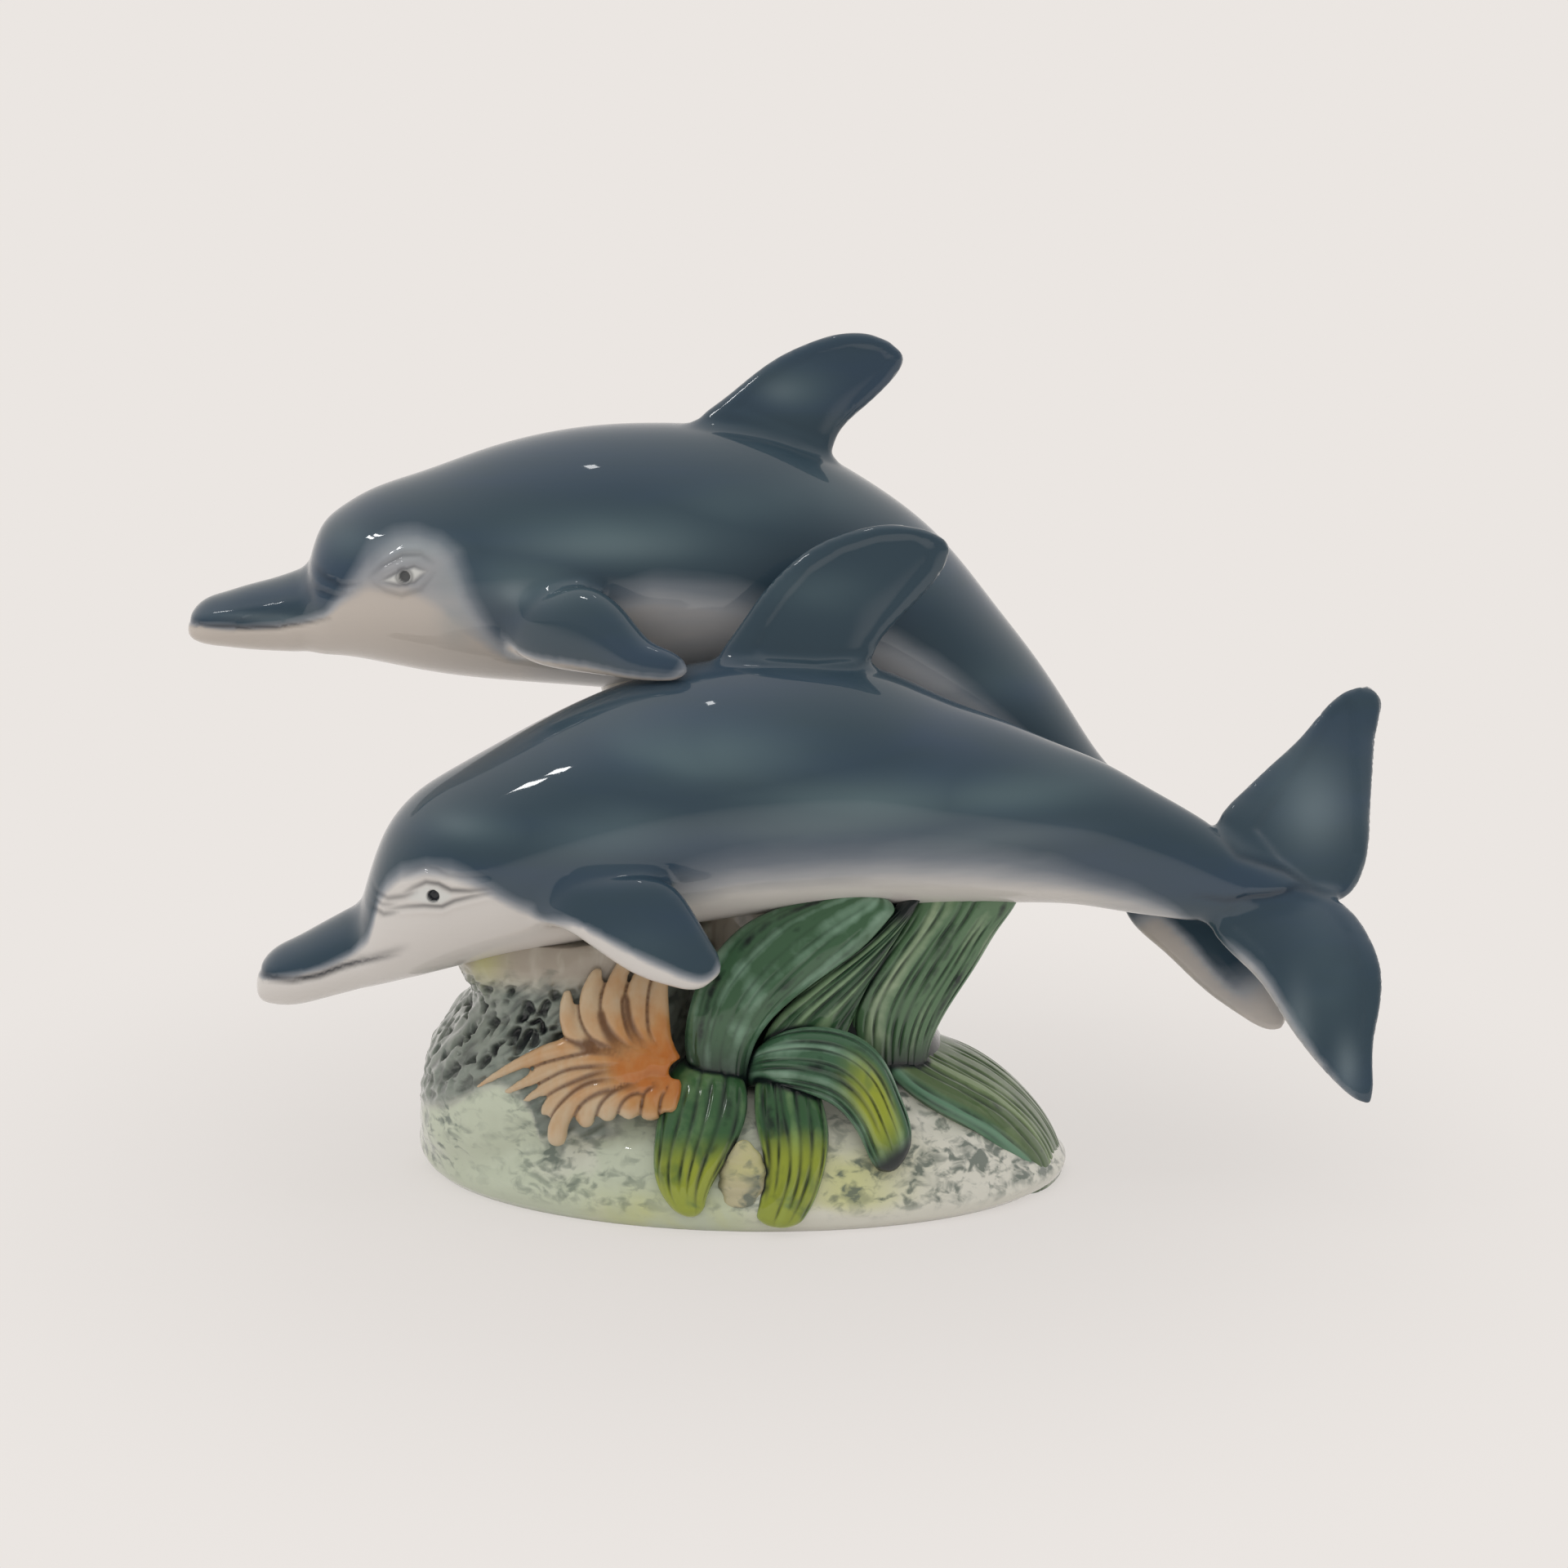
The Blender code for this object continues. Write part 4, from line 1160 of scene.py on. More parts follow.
# A block station: height, left and right along X, front and back along Y.
ROCK = [
    (-FOOT_EXTRA, -68.0, -6.0, -18.0, 34.0),
    (8.0, -80.0, -5.0, -29.0, 39.0),
    (20.0, -79.8, -6.0, -36.0, 40.0),
    (30.0, -78.0, -8.0, -37.5, 38.0),
    (38.0, -73.6, -10.0, -37.0, 33.0),
    (44.0, -68.6, -11.4, -35.0, 27.0),
    (49.0, -65.8, -12.0, -34.0, 21.0),
    (54.0, -68.0, -12.0, -33.0, 14.0),
    (59.0, -70.0, -11.0, -33.0, 7.0),
    (66.0, -64.0, -9.0, -32.0, 1.0),
]
PILLAR = [
    (-FOOT_EXTRA, -52.0, 52.0, -6.0, 42.0),
    (20.0, -50.0, 50.0, -2.0, 42.0),
    (44.0, -44.0, 42.0, 2.0, 40.0),
    (70.0, -38.0, 34.0, 4.0, 38.0),
    (96.0, -34.0, 30.0, 4.0, 37.0),
    (116.0, -34.5, 30.0, 2.0, 38.0),
    (130.0, -38.0, 26.0, 0.0, 40.0),
]
WEED_MASS = [
    (-FOOT_EXTRA, -14.0, 52.0, -34.0, 20.0),
    (20.0, -14.0, 54.0, -34.0, 20.0),
    (34.0, -12.0, 50.0, -31.0, 18.0),
    (42.0, -11.0, 46.4, -29.0, 16.0),
    (50.0, -9.0, 50.0, -27.0, 15.0),
    (60.0, -8.0, 56.0, -26.0, 12.0),
    (70.0, -8.0, 62.0, -26.0, 8.0),
    (80.0, -6.0, 65.0, -25.0, 4.0),
]

# Leaves: left edge, right edge, thickness share.
LEAF_BROAD = [
    (-10.0, -33.0, 28.0, 2.0, -33.0, 27.0, 0.9),
    (-13.2, -35.0, 43.6, 3.8, -36.0, 43.0, 1.2),
    (-12.2, -35.0, 51.0, 8.0, -36.5, 49.6, 1.35),
    (-9.6, -34.0, 58.4, 13.6, -36.0, 54.8, 1.4),
    (-4.8, -33.0, 65.8, 20.4, -35.0, 59.8, 1.3),
    (2.6, -32.0, 72.4, 28.0, -34.0, 65.2, 1.2),
    (14.0, -31.0, 77.0, 34.0, -32.0, 70.8, 1.0),
    (26.0, -30.0, 80.0, 39.0, -30.0, 76.6, 0.8),
]
LEAF_UPRIGHT = [
    (28.6, -26.0, 30.0, 45.0, -22.0, 30.0, 1.0),
    (27.2, -27.0, 42.0, 46.8, -23.0, 40.6, 1.0),
    (27.6, -27.0, 51.4, 52.2, -23.0, 51.0, 1.0),
    (32.4, -27.0, 60.7, 57.6, -22.0, 59.4, 1.0),
    (37.3, -26.0, 67.2, 62.4, -21.0, 67.4, 1.0),
    (42.0, -25.0, 75.0, 67.4, -20.0, 75.4, 1.0),
    (44.0, -24.0, 82.0, 68.2, -18.0, 82.0, 0.9),
]
LEAF_FAN = [
    (4.0, -33.0, 38.0, 24.0, -31.0, 40.0, 1.0),
    (7.0, -33.5, 46.0, 27.0, -30.0, 47.0, 1.0),
    (13.0, -33.0, 53.0, 30.0, -29.0, 54.0, 1.0),
    (21.0, -32.0, 60.0, 33.5, -28.5, 60.5, 0.9),
    (29.0, -31.0, 66.5, 37.5, -28.0, 67.5, 0.8),
    (36.0, -29.5, 73.0, 41.5, -27.0, 74.0, 0.7),
    (40.0, -28.0, 78.0, 44.5, -26.0, 79.0, 0.6),
]
LEAF_MIDDLE = [
    (4.0, -32.0, 40.0, 2.0, -33.0, 31.0, 0.8),
    (9.6, -36.0, 45.6, 8.4, -38.5, 33.0, 1.0),
    (18.4, -37.5, 47.8, 16.4, -42.0, 32.2, 1.1),
    (27.6, -38.5, 46.0, 22.6, -43.0, 29.6, 1.1),
    (34.2, -40.0, 40.6, 26.8, -44.0, 25.4, 1.1),
    (38.4, -42.0, 32.0, 29.4, -45.0, 20.8, 1.0),
    (41.0, -44.0, 23.4, 31.6, -46.0, 16.4, 0.9),
    (40.0, -45.5, 16.6, 34.4, -46.5, 13.0, 0.6),
]
LEAF_FRONT_LEFT = [
    (-14.0, -30.0, 37.0, 0.0, -31.0, 35.0, 0.9),
    (-17.4, -36.0, 34.0, 1.6, -38.0, 32.4, 1.1),
    (-19.4, -41.0, 27.4, 1.6, -43.5, 27.6, 1.1),
    (-20.4, -45.0, 20.4, -1.0, -48.0, 21.6, 1.1),
    (-20.0, -48.0, 13.6, -4.8, -50.5, 15.6, 1.0),
    (-17.4, -50.0, 8.4, -7.6, -51.5, 10.0, 0.8),
    (-13.6, -51.0, 4.4, -8.4, -51.8, 5.4, 0.6),
]
LEAF_FRONT_RIGHT = [
    (4.4, -31.0, 36.0, 18.4, -31.0, 34.4, 0.9),
    (3.6, -38.0, 32.4, 19.2, -38.0, 31.6, 1.1),
    (3.8, -43.0, 26.0, 21.0, -43.0, 25.6, 1.1),
    (5.4, -47.0, 19.6, 21.0, -47.0, 19.0, 1.1),
    (5.8, -49.5, 13.4, 19.4, -49.5, 12.6, 1.0),
    (4.4, -51.0, 7.6, 17.0, -51.0, 7.0, 0.8),
    (4.0, -51.8, 3.0, 13.4, -51.8, 1.6, 0.6),
]
LEAF_RIGHT = [
    (38.0, -4.0, 38.0, 34.0, -27.0, 36.0, 1.0),
    (47.6, 0.0, 33.0, 39.0, -30.0, 31.6, 1.3),
    (55.6, 2.0, 29.0, 46.4, -32.0, 26.8, 1.5),
    (63.6, 3.0, 23.0, 54.0, -31.6, 22.4, 1.6),
    (70.8, 3.0, 15.4, 60.6, -29.6, 17.6, 1.6),
    (76.4, 2.0, 7.4, 66.8, -26.8, 11.6, 1.4),
    (78.6, 0.0, 1.0, 70.8, -24.0, 5.6, 1.1),
    (76.0, -2.0, -FOOT_EXTRA, 68.0, -21.0, -FOOT_EXTRA, 0.9),
]
LEAF_BACK_LEFT = [
    (-16.0, 38.0, 22.0, -32.0, 33.0, 24.0, 0.9),
    (-18.0, 39.0, 40.0, -34.0, 33.0, 42.0, 1.1),
    (-13.0, 39.0, 56.0, -31.0, 34.0, 60.0, 1.1),
    (-4.0, 39.0, 70.0, -22.0, 36.0, 76.0, 1.1),
    (8.0, 38.0, 80.0, -8.0, 37.0, 90.0, 1.0),
    (17.0, 37.0, 88.0, 7.0, 37.0, 98.0, 0.9),
    (23.0, 34.0, 96.0, 19.0, 34.0, 101.0, 0.7),
]
LEAF_BACK_RIGHT = [
    (34.0, 30.0, 30.0, 20.0, 38.0, 26.0, 0.9),
    (43.0, 30.0, 25.5, 29.0, 40.0, 19.0, 1.1),
    (51.0, 30.0, 19.6, 37.0, 41.0, 13.0, 1.1),
    (57.0, 29.0, 13.0, 43.0, 40.0, 8.0, 1.0),
    (60.0, 28.0, 7.0, 46.0, 39.0, 4.0, 0.9),
    (60.0, 26.0, 1.0, 47.0, 37.0, 0.0, 0.7),
]
PEBBLE_CENTRE = (1.0, -48.4, 12.8)
PEBBLE_SIZE = (12.6, 8.0, 20.6)

# The left side of the broad leaf, beyond which the column is bare: (x, z).
LEAF_SIDE = np.array(
    [
        (-13.0, 28.0), (-13.4, 43.6), (-12.4, 51.0), (-9.8, 58.4),
        (-5.0, 65.8), (2.4, 72.4), (14.0, 77.0), (26.0, 80.0),
    ]
)

# The anemone's arms: points (x, z) in the front view, the depth they lie at
# and the half-widths at the root, half way and at the tip.
ANEMONE_ARMS = [
    (
        [
            (-16.6, 38.4), (-26.8, 40.6), (-34.1, 42.6), (-41.3, 42.6), (-49.7, 40.0),
            (-57.1, 36.3), (-64.4, 31.6),
        ],
        -38.0, (3.2, 2.4, 0.5),
    ),
    ([
        (-22.0, 37.6), (-29.0, 39.6), (-36.1, 40.0), (-43.4, 38.3), (-50.7, 34.6), (-57.0, 31.2),
    ], -39.0, (3.2, 2.3, 0.7)),
    ([
        (-24.0, 37.4), (-31.0, 38.0), (-38.3, 37.0), (-45.5, 33.6), (-52.2, 29.6),
    ], -40.0, (3.0, 2.3, 0.8)),
    ([
        (-24.0, 36.8), (-32.0, 36.4), (-39.3, 34.0), (-44.8, 30.0), (-47.6, 26.4),
    ], -41.0, (2.6, 2.2, 1.0)),
    ([
        (-24.0, 36.2), (-33.4, 34.8), (-39.6, 31.0), (-43.0, 25.4), (-43.6, 19.4),
    ], -43.0, (2.2, 2.5, 2.5)),
    ([(-22.4, 35.6), (-31.0, 33.6), (-35.4, 29.4), (-37.0, 24.2)], -43.0, (2.0, 2.4, 2.0)),
    ([(-21.0, 35.6), (-27.6, 33.4), (-30.8, 29.6), (-31.8, 26.0)], -43.0, (2.0, 2.5, 1.9)),
    ([(-19.6, 35.6), (-24.0, 33.0), (-26.0, 29.6), (-26.4, 26.6)], -43.0, (2.0, 2.4, 2.1)),
    ([(-17.6, 36.0), (-20.2, 33.4), (-21.0, 30.0), (-20.8, 26.0)], -43.0, (2.0, 2.6, 2.3)),
    ([(-15.6, 36.4), (-15.8, 34.0), (-16.2, 31.6), (-16.8, 28.0)], -43.0, (2.0, 2.2, 1.8)),
    ([
        (-24.0, 39.4), (-33.0, 41.6), (-38.6, 45.4), (-41.0, 51.3), (-40.6, 57.5),
    ], -38.0, (2.4, 2.8, 1.2)),
    ([
        (-21.0, 39.6), (-29.0, 42.4), (-34.4, 47.8), (-35.6, 55.7), (-33.0, 62.8),
    ], -38.0, (2.6, 3.3, 1.4)),
    ([
        (-19.0, 39.6), (-26.6, 43.6), (-30.0, 50.3), (-29.6, 57.7), (-25.6, 66.6),
    ], -38.0, (2.6, 3.4, 1.5)),
    ([
        (-17.4, 39.4), (-22.4, 44.6), (-24.4, 51.3), (-23.8, 58.2), (-20.6, 66.0),
    ], -38.0, (2.6, 3.2, 1.5)),
    ([
        (-16.0, 38.8), (-18.4, 44.0), (-19.2, 50.6), (-18.8, 57.6), (-16.9, 65.8),
    ], -38.0, (2.4, 2.7, 1.4)),
    ([(-26.0, 41.0), (-30.4, 45.6), (-32.0, 50.6)], -39.0, (1.6, 1.8, 0.8)),
    ([(-21.0, 41.0), (-25.4, 47.0), (-26.4, 54.0)], -39.0, (1.6, 1.9, 0.8)),
]


# The dolphins


@dataclass(frozen=True)
class Stroke:
    """A line cut or raised on the flanks, in the side view.

    Args:
        line: Its (x, z) points.
        width: Its half-width.
        depth: How deep it is cut; below 0 it stands up.
        ink: How dark it is painted.
        flank: True if it is only on the flanks and not round the front.
    """

    line: Rows
    width: float
    depth: float
    ink: float = 0.0
    flank: bool = True

    def mask(self, skin: Skin) -> Array:
        """How far each point is in the line, thinner at its ends."""
        gap, share = near_line(skin.side_view, self.line)
        ends = np.sqrt(np.sin(np.pi * np.clip(share, 0.02, 0.98)))
        facing = np.abs(skin.normals[:, 1]) if self.flank else 1.0
        return bell(gap, self.width) * ends * facing


@dataclass(frozen=True)
class Eye:
    """An eye on each flank.

    Args:
        centre: The pupil's (x, z).
        white: The outline of the almond.
        lids: The lines round it.
        pupil: The pupil's radius.
        ring: How much of a painted ring goes round the pupil.
        reach: How far round the eye the mesh is fine.
    """

    centre: tuple[float, float]
    white: Rows
    lids: Sequence[Stroke]
    pupil: float = 1.35
    ring: float = 0.0
    reach: float = 15.0

    def near(self, points: Array) -> Array:
        """Which points lie round the eye."""
        away = points[:, (0, 2)] - np.array(self.centre)
        return np.linalg.norm(away, axis=1) < self.reach

    def carve(self, skin: Skin) -> tuple[Array, Array, Array]:
        """Shape the eye.

        Args:
            skin: The dolphin's skin.

        Returns:
            How far each point moves out, and its white and ink.
        """
        facing = ease(0.3, 0.6, np.abs(skin.normals[:, 1]))
        gap = np.linalg.norm(skin.side_view - np.array(self.centre), axis=1)
        almond = ease(-0.5, 1.2, inside(skin.side_view, self.white)) * facing
        move = 0.45 * bell(gap, 3.0) * facing
        hole = ease(self.pupil + 0.25, self.pupil - 0.25, gap) * facing
        move -= 1.5 * hole
        ink = ease(self.pupil + 0.35, self.pupil - 0.1, gap) * facing
        if self.ring:
            ink = np.maximum(ink * 0.8, self.ring * bell(gap - 1.9, 0.45) * facing)
        for lid in self.lids:
            mask = lid.mask(skin)
            move -= lid.depth * mask
            ink = np.maximum(ink, lid.ink * mask)
        return move, almond, ink


@dataclass(frozen=True)
class Lobe:
    """One lobe of a fluke and its pale parts.

    Args:
        stations: Its edges and thickness.
        edge: Which edge is pale: -1 the leading one, 1 the trailing one.
        start: How far across the pale edge begins, as a share.
        tip: How far along the pale tip begins; 1 for none.
        paleness: How pale both are.
    """

    stations: Rows
    edge: float
    start: float
    tip: float
    paleness: float

    def tone(self, along: Array, across: Array) -> Array:
        """How dark each point is."""
        rim = ease(self.start, self.start + 0.3, across * self.edge) * ease(0.1, 0.3, along)
        end = ease(self.tip, self.tip + 0.35, along)
        return 1.0 - self.paleness * np.maximum(rim, end)


@dataclass
class Dolphin:
    """One leaping dolphin: body, beak, dorsal fin, flippers and flukes.

    Args:
        name: The piece's name.
        plane: The y of its plane of symmetry.
        body: Its body stations.
        beak: Its beak stations.
        fin: Its dorsal fin stations.
        flippers: Its near and far flippers' stations; the far one is mirrored.
        flukes: Its two fluke lobes, each with its pale edge.
        edge: Where slate meets cream: (x, z, softness).
        least: The least tone along the body: (x, tone).
        clearings: Pale outlines, of pale paint and a painted reflection: (outline, softness, tone).
        eye: Its eyes.
        strokes: Lines on its flanks.
        plates: Outlines sunk into the fin and flukes, with their depth.
        patches: Lighter sprays: (x, z, half-length, half-height, strength).
        painted_highlights: Painted highlights and sheen, given likewise.
        rim: How far the pale edge of a flipper goes in, as a share.
        glaze: Its paint.
        voxel: The grid its forms are melted on.
        passes: How many times the joins are smoothed.
    """

    name: str
    plane: float
    body: Rows
    beak: Rows
    fin: Rows
    flippers: tuple[Rows, Rows]
    flukes: tuple["Lobe", "Lobe"]
    edge: Rows
    least: Rows
    clearings: Sequence[tuple[Rows, float, float]]
    eye: Eye
    strokes: Sequence[Stroke]
    plates: Sequence[tuple[Rows, float]]
    patches: Rows
    painted_highlights: Rows
    rim: float
    glaze: DolphinGlaze
    voxel: float = 1.9
    passes: int = 3

    def lofts(self) -> list[Loft]:
        """The forms before they are melted together."""
        made = [
            body_loft("body", self.body, self.plane),
            body_loft("beak", self.beak, self.plane, 70, 72),
            blade_loft("fin", self.fin, FIN_THICKNESS, self.plane),
        ]
        for flipper, side in zip(self.flippers, (1.0, -1.0)):
            made.append(blade_loft("flipper", flipper, FIN_THICKNESS, self.plane, side))
        for number, lobe in enumerate(self.flukes):
            made.append(blade_loft(f"lobe {number}", lobe.stations, FLUKE_THICKNESS, self.plane))
        return made

    def tone(self, skin: Skin, lofts: Sequence[Loft]) -> Array:
        """How dark each point is: 1 on the back, 0 on the belly."""
        number, along, turn = skin.whose(lofts)
        label = np.array([loft.label for loft in lofts])[number]
        edge = np.array(self.edge)
        x, z = skin.side_view.T
        height = np.interp(x, edge[:, 0], edge[:, 1])
        soft = np.interp(x, edge[:, 0], edge[:, 2])
        tone = ease(-1.0, 1.0, (z - height) / soft)
        least = np.array(self.least)
        tone = np.maximum(tone, np.interp(x, least[:, 0], least[:, 1]))
        # Clearings lighten the tone: pale paint with a painted reflection on it
        for outline, soft, level in self.clearings:
            clear = ease(-soft, soft, inside(skin.side_view, outline))
            tone -= clear * np.maximum(tone - level, 0.0)
        tone[label == "fin"] = 1.0
        across = squared(np.cos(turn))
        wing = label == "flipper"
        rim = ease(-self.rim, -self.rim - 0.3, across) * ease(0.12, 0.35, along)
        rim = np.maximum(rim, 0.6 * ease(0.93, 1.0, along))
        under = ease(-0.1, -0.6, skin.normals[:, 2]) * 0.9
        tone[wing] = (1.0 - np.maximum(rim, under))[wing]
        for lobe_number, lobe in enumerate(self.flukes):
            fluke = label == f"lobe {lobe_number}"
            tone[fluke] = lobe.tone(along, across)[fluke]
        return skin.soften(tone, 6)

    def build(self) -> bpy.types.Object:
        """Make, carve and paint the dolphin."""
        lofts = self.lofts()
        skin = fused(self.name, lofts, self.voxel, self.passes)
        skin.refine(self.eye.near, 2)
        tone = self.tone(skin, lofts)
        move, white, ink = self.eye.carve(skin)
        for stroke in self.strokes:
            mask = stroke.mask(skin)
            move -= stroke.depth * mask
            ink = np.maximum(ink, stroke.ink * mask)
        facing = ease(0.35, 0.7, np.abs(skin.normals[:, 1]))
        for outline, depth in self.plates:
            move -= depth * ease(-0.6, 1.4, inside(skin.side_view, outline)) * facing
        skin.push(move)
        skin.colour("tone", tone)
        skin.colour("lift", self.spray(skin, self.patches) * tone)
        # Painted highlights and sheen: soft light sprays where the glaze shines
        skin.colour("painted_highlight", self.spray(skin, self.painted_highlights))
        skin.colour("white", white)
        skin.colour("ink", ink)
        return finish_piece(skin.made, self.glaze.material())

    @staticmethod
    def spray(skin: Skin, spots: Rows) -> Array:
        """The strongest of some soft oval sprays at each point."""
        total = np.zeros(len(skin.points))
        for x, z, long, high, strength in spots:
            away = ((skin.side_view - (x, z)) / (long, high)) ** 2
            total = np.maximum(total, strength * np.exp(-away.sum(axis=1)))
        return total


def finish_piece(made: bpy.types.Object, material: bpy.types.Material) -> bpy.types.Object:
    """Dress a piece and hang it on the model."""
    made.data.materials.clear()
    made.data.materials.append(material)
    made.data.shade_smooth()
    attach(made, "root")
    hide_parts(NODE)
    return made


# The sea bed


@dataclass
class SeaBed:
    """The mound with its rock, the column behind and the weed's core.

    Args:
        name: The piece's name.
        pits: The outline of the pitted part of the rock.
        shore: Where the rock meets the mound in front.
        pit_depth: How deep the pits go.
        ripple_depth: How deep the rock's ripples are.
        lump_height: How far the mound's soft lumps stand up.
        voxel: The grid its forms are melted on.
        passes: How many times the joins are smoothed.
        glaze: Its paint.
    """

    name: str = "sea_bed"
    pits: Rows = (
        (-66.0, 55.5),
        (-53.1, 57.1),
        (-38.5, 55.9),
        (-36.6, 41.1),
        (-48.0, 40.0),
        (-64.1, 33.0),
        (-77.0, 28.3),
        (-74.0, 42.0),
    )
    shore: Rows = (
        (-84.0, 16.0),
        (-75.2, 22.2),
        (-69.8, 25.5),
        (-63.5, 30.5),
        (-58.2, 32.8),
        (-53.0, 30.5),
        (-49.8, 25.9),
        (-48.2, 19.3),
        (-42.0, 15.0),
    )
    pit_depth: float = 1.9
    ripple_depth: float = 0.7
    lump_height: float = 0.9
    voxel: float = 1.85
    passes: int = 3
    glaze: BedGlaze = field(default_factory=lambda: BedGlaze("sea_bed_glaze"))

    def build(self) -> Skin:
        """Make, carve and paint the bed."""
        lofts = [
            mound_loft(),
            block_loft("rock", ROCK),
            block_loft("pillar", PILLAR),
            block_loft("weed", WEED_MASS),
        ]
        skin = fused(self.name, lofts, self.voxel, self.passes)
        skin.refine(self.rocky, 1, 1)
        number, _, _ = skin.whose(lofts)
        x, y, z = skin.points.T
        on_rock = skin.soften((number == 1).astype(float), 6)
        on_pillar = skin.soften((number == 2).astype(float), 6)
        on_weed = skin.soften((number == 3).astype(float), 4)
        fade_up = ease(60.0, 53.0, z)
        rocky = on_rock * fade_up
        cells, ripples, lumps = self.relief(skin.points, rocky)
        line = np.array(self.shore)
        ashore = ease(-2.0, 2.0, z - np.interp(x, line[:, 0], line[:, 1]))
        rocky = rocky * np.where(y < 0.0, ashore, 1.0)
        deep = np.maximum(
            ease(-6.0, 6.0, inside(skin.side_view, self.pits)) * ease(0.0, -12.0, y),
            0.55 * ease(-50.0, -70.0, x) * ease(20.0, 34.0, z),
        )
        pit = ease(0.52, 0.26, cells) * rocky * deep
        foot = ease(1.0, 6.0, z)
        move = -self.pit_depth * pit + self.ripple_depth * ripples * rocky * (0.4 + 0.6 * foot)
        move += self.lump_height * lumps * (1.0 - on_weed) * foot * (1.0 - rocky)
        skin.push(move)
        front_left = ease(6.0, -14.0, x + 0.2 * y)
        skin.colour("sage", front_left * (1.0 - rocky) + ease(30.0, 50.0, y) * 0.6)
        left_edge = ease(-52.0, -70.0, x + 0.3 * z)
        mottle = 0.7 + 0.3 * np.maximum(ease(10.0, 40.0, x), left_edge)
        skin.colour("mottle", mottle * ease(2.0, 7.0, z))
        skin.colour("rock", rocky)
        past_leaf = x - 8.0 - np.interp(z, LEAF_SIDE[:, 1], LEAF_SIDE[:, 0])
        clear_of_leaf = ease(1.5, -1.0, past_leaf) * ease(10.0, -10.0, y)
        behind = ease(-10.0, 10.0, y) * ease(34.0, 42.0, z)
        weed_shade = on_weed * ease(26.0, 31.0, z) * (1.0 - clear_of_leaf) * (1.0 - 0.4 * behind)
        stone = np.maximum(on_pillar, on_rock * (1.0 - fade_up))
        stone = np.maximum(stone, on_weed * clear_of_leaf)
        skin.colour("stone", stone * (1.0 - weed_shade))
        skin.colour("pit", np.maximum(pit, 0.5 * ease(-0.05, -0.45, ripples) * rocky))
        skin.colour("yellow", 0.5 * bell(x + 62.0, 5.0) * bell(z - 62.0, 6.0) * ease(0.0, -20.0, y))
        lemon = 0.7 * bell(x - 26.0, 14.0) * ease(26.0, 14.0, z) * ease(3.0, 8.0, z)
        lemon = np.maximum(lemon, 0.7 * bell(x + 18.0, 16.0) * ease(14.0, 4.0, z))
        skin.colour("lemon", lemon * ease(0.0, -20.0, y))
        skin.colour("dark", weed_shade)
        finish_piece(skin.made, self.glaze.material())
        trim_foot(skin.made)
        return skin

    @staticmethod
    def relief(points: Array, rocky: Array) -> tuple[Array, Array, Array]:
        """Noise at each point: the rock's cells and ripples, and the mound's lumps."""
        cells, ripples, lumps = np.zeros((3, len(points)))
        for i, (x, y, z) in enumerate(points):
            across, up = x * 0.8 + z * 0.6, z * 0.8 - x * 0.6
            if rocky[i] > 0.02:
                spot = Vector((across * 0.19, y * 0.22, up * 0.34))
                wobble = noise.noise(spot * 1.4) * 0.7
                cells[i] = noise.voronoi(spot + Vector((wobble, 0.0, wobble)))[0][0]
                ripples[i] = noise.noise(Vector((across * 0.14, y * 0.26, up * 0.6)))
            lumps[i] = noise.fractal(Vector((x, y, z)) * 0.06, 1.0, 2.0, 3)
        return cells, ripples, lumps

    def rocky(self, points: Array) -> Array:
        """Which points lie on the front of the rock."""
        x, y, z = points.T
        return (x < -32.0) & (y < 0.0) & (z > 16.0) & (z < 62.0)


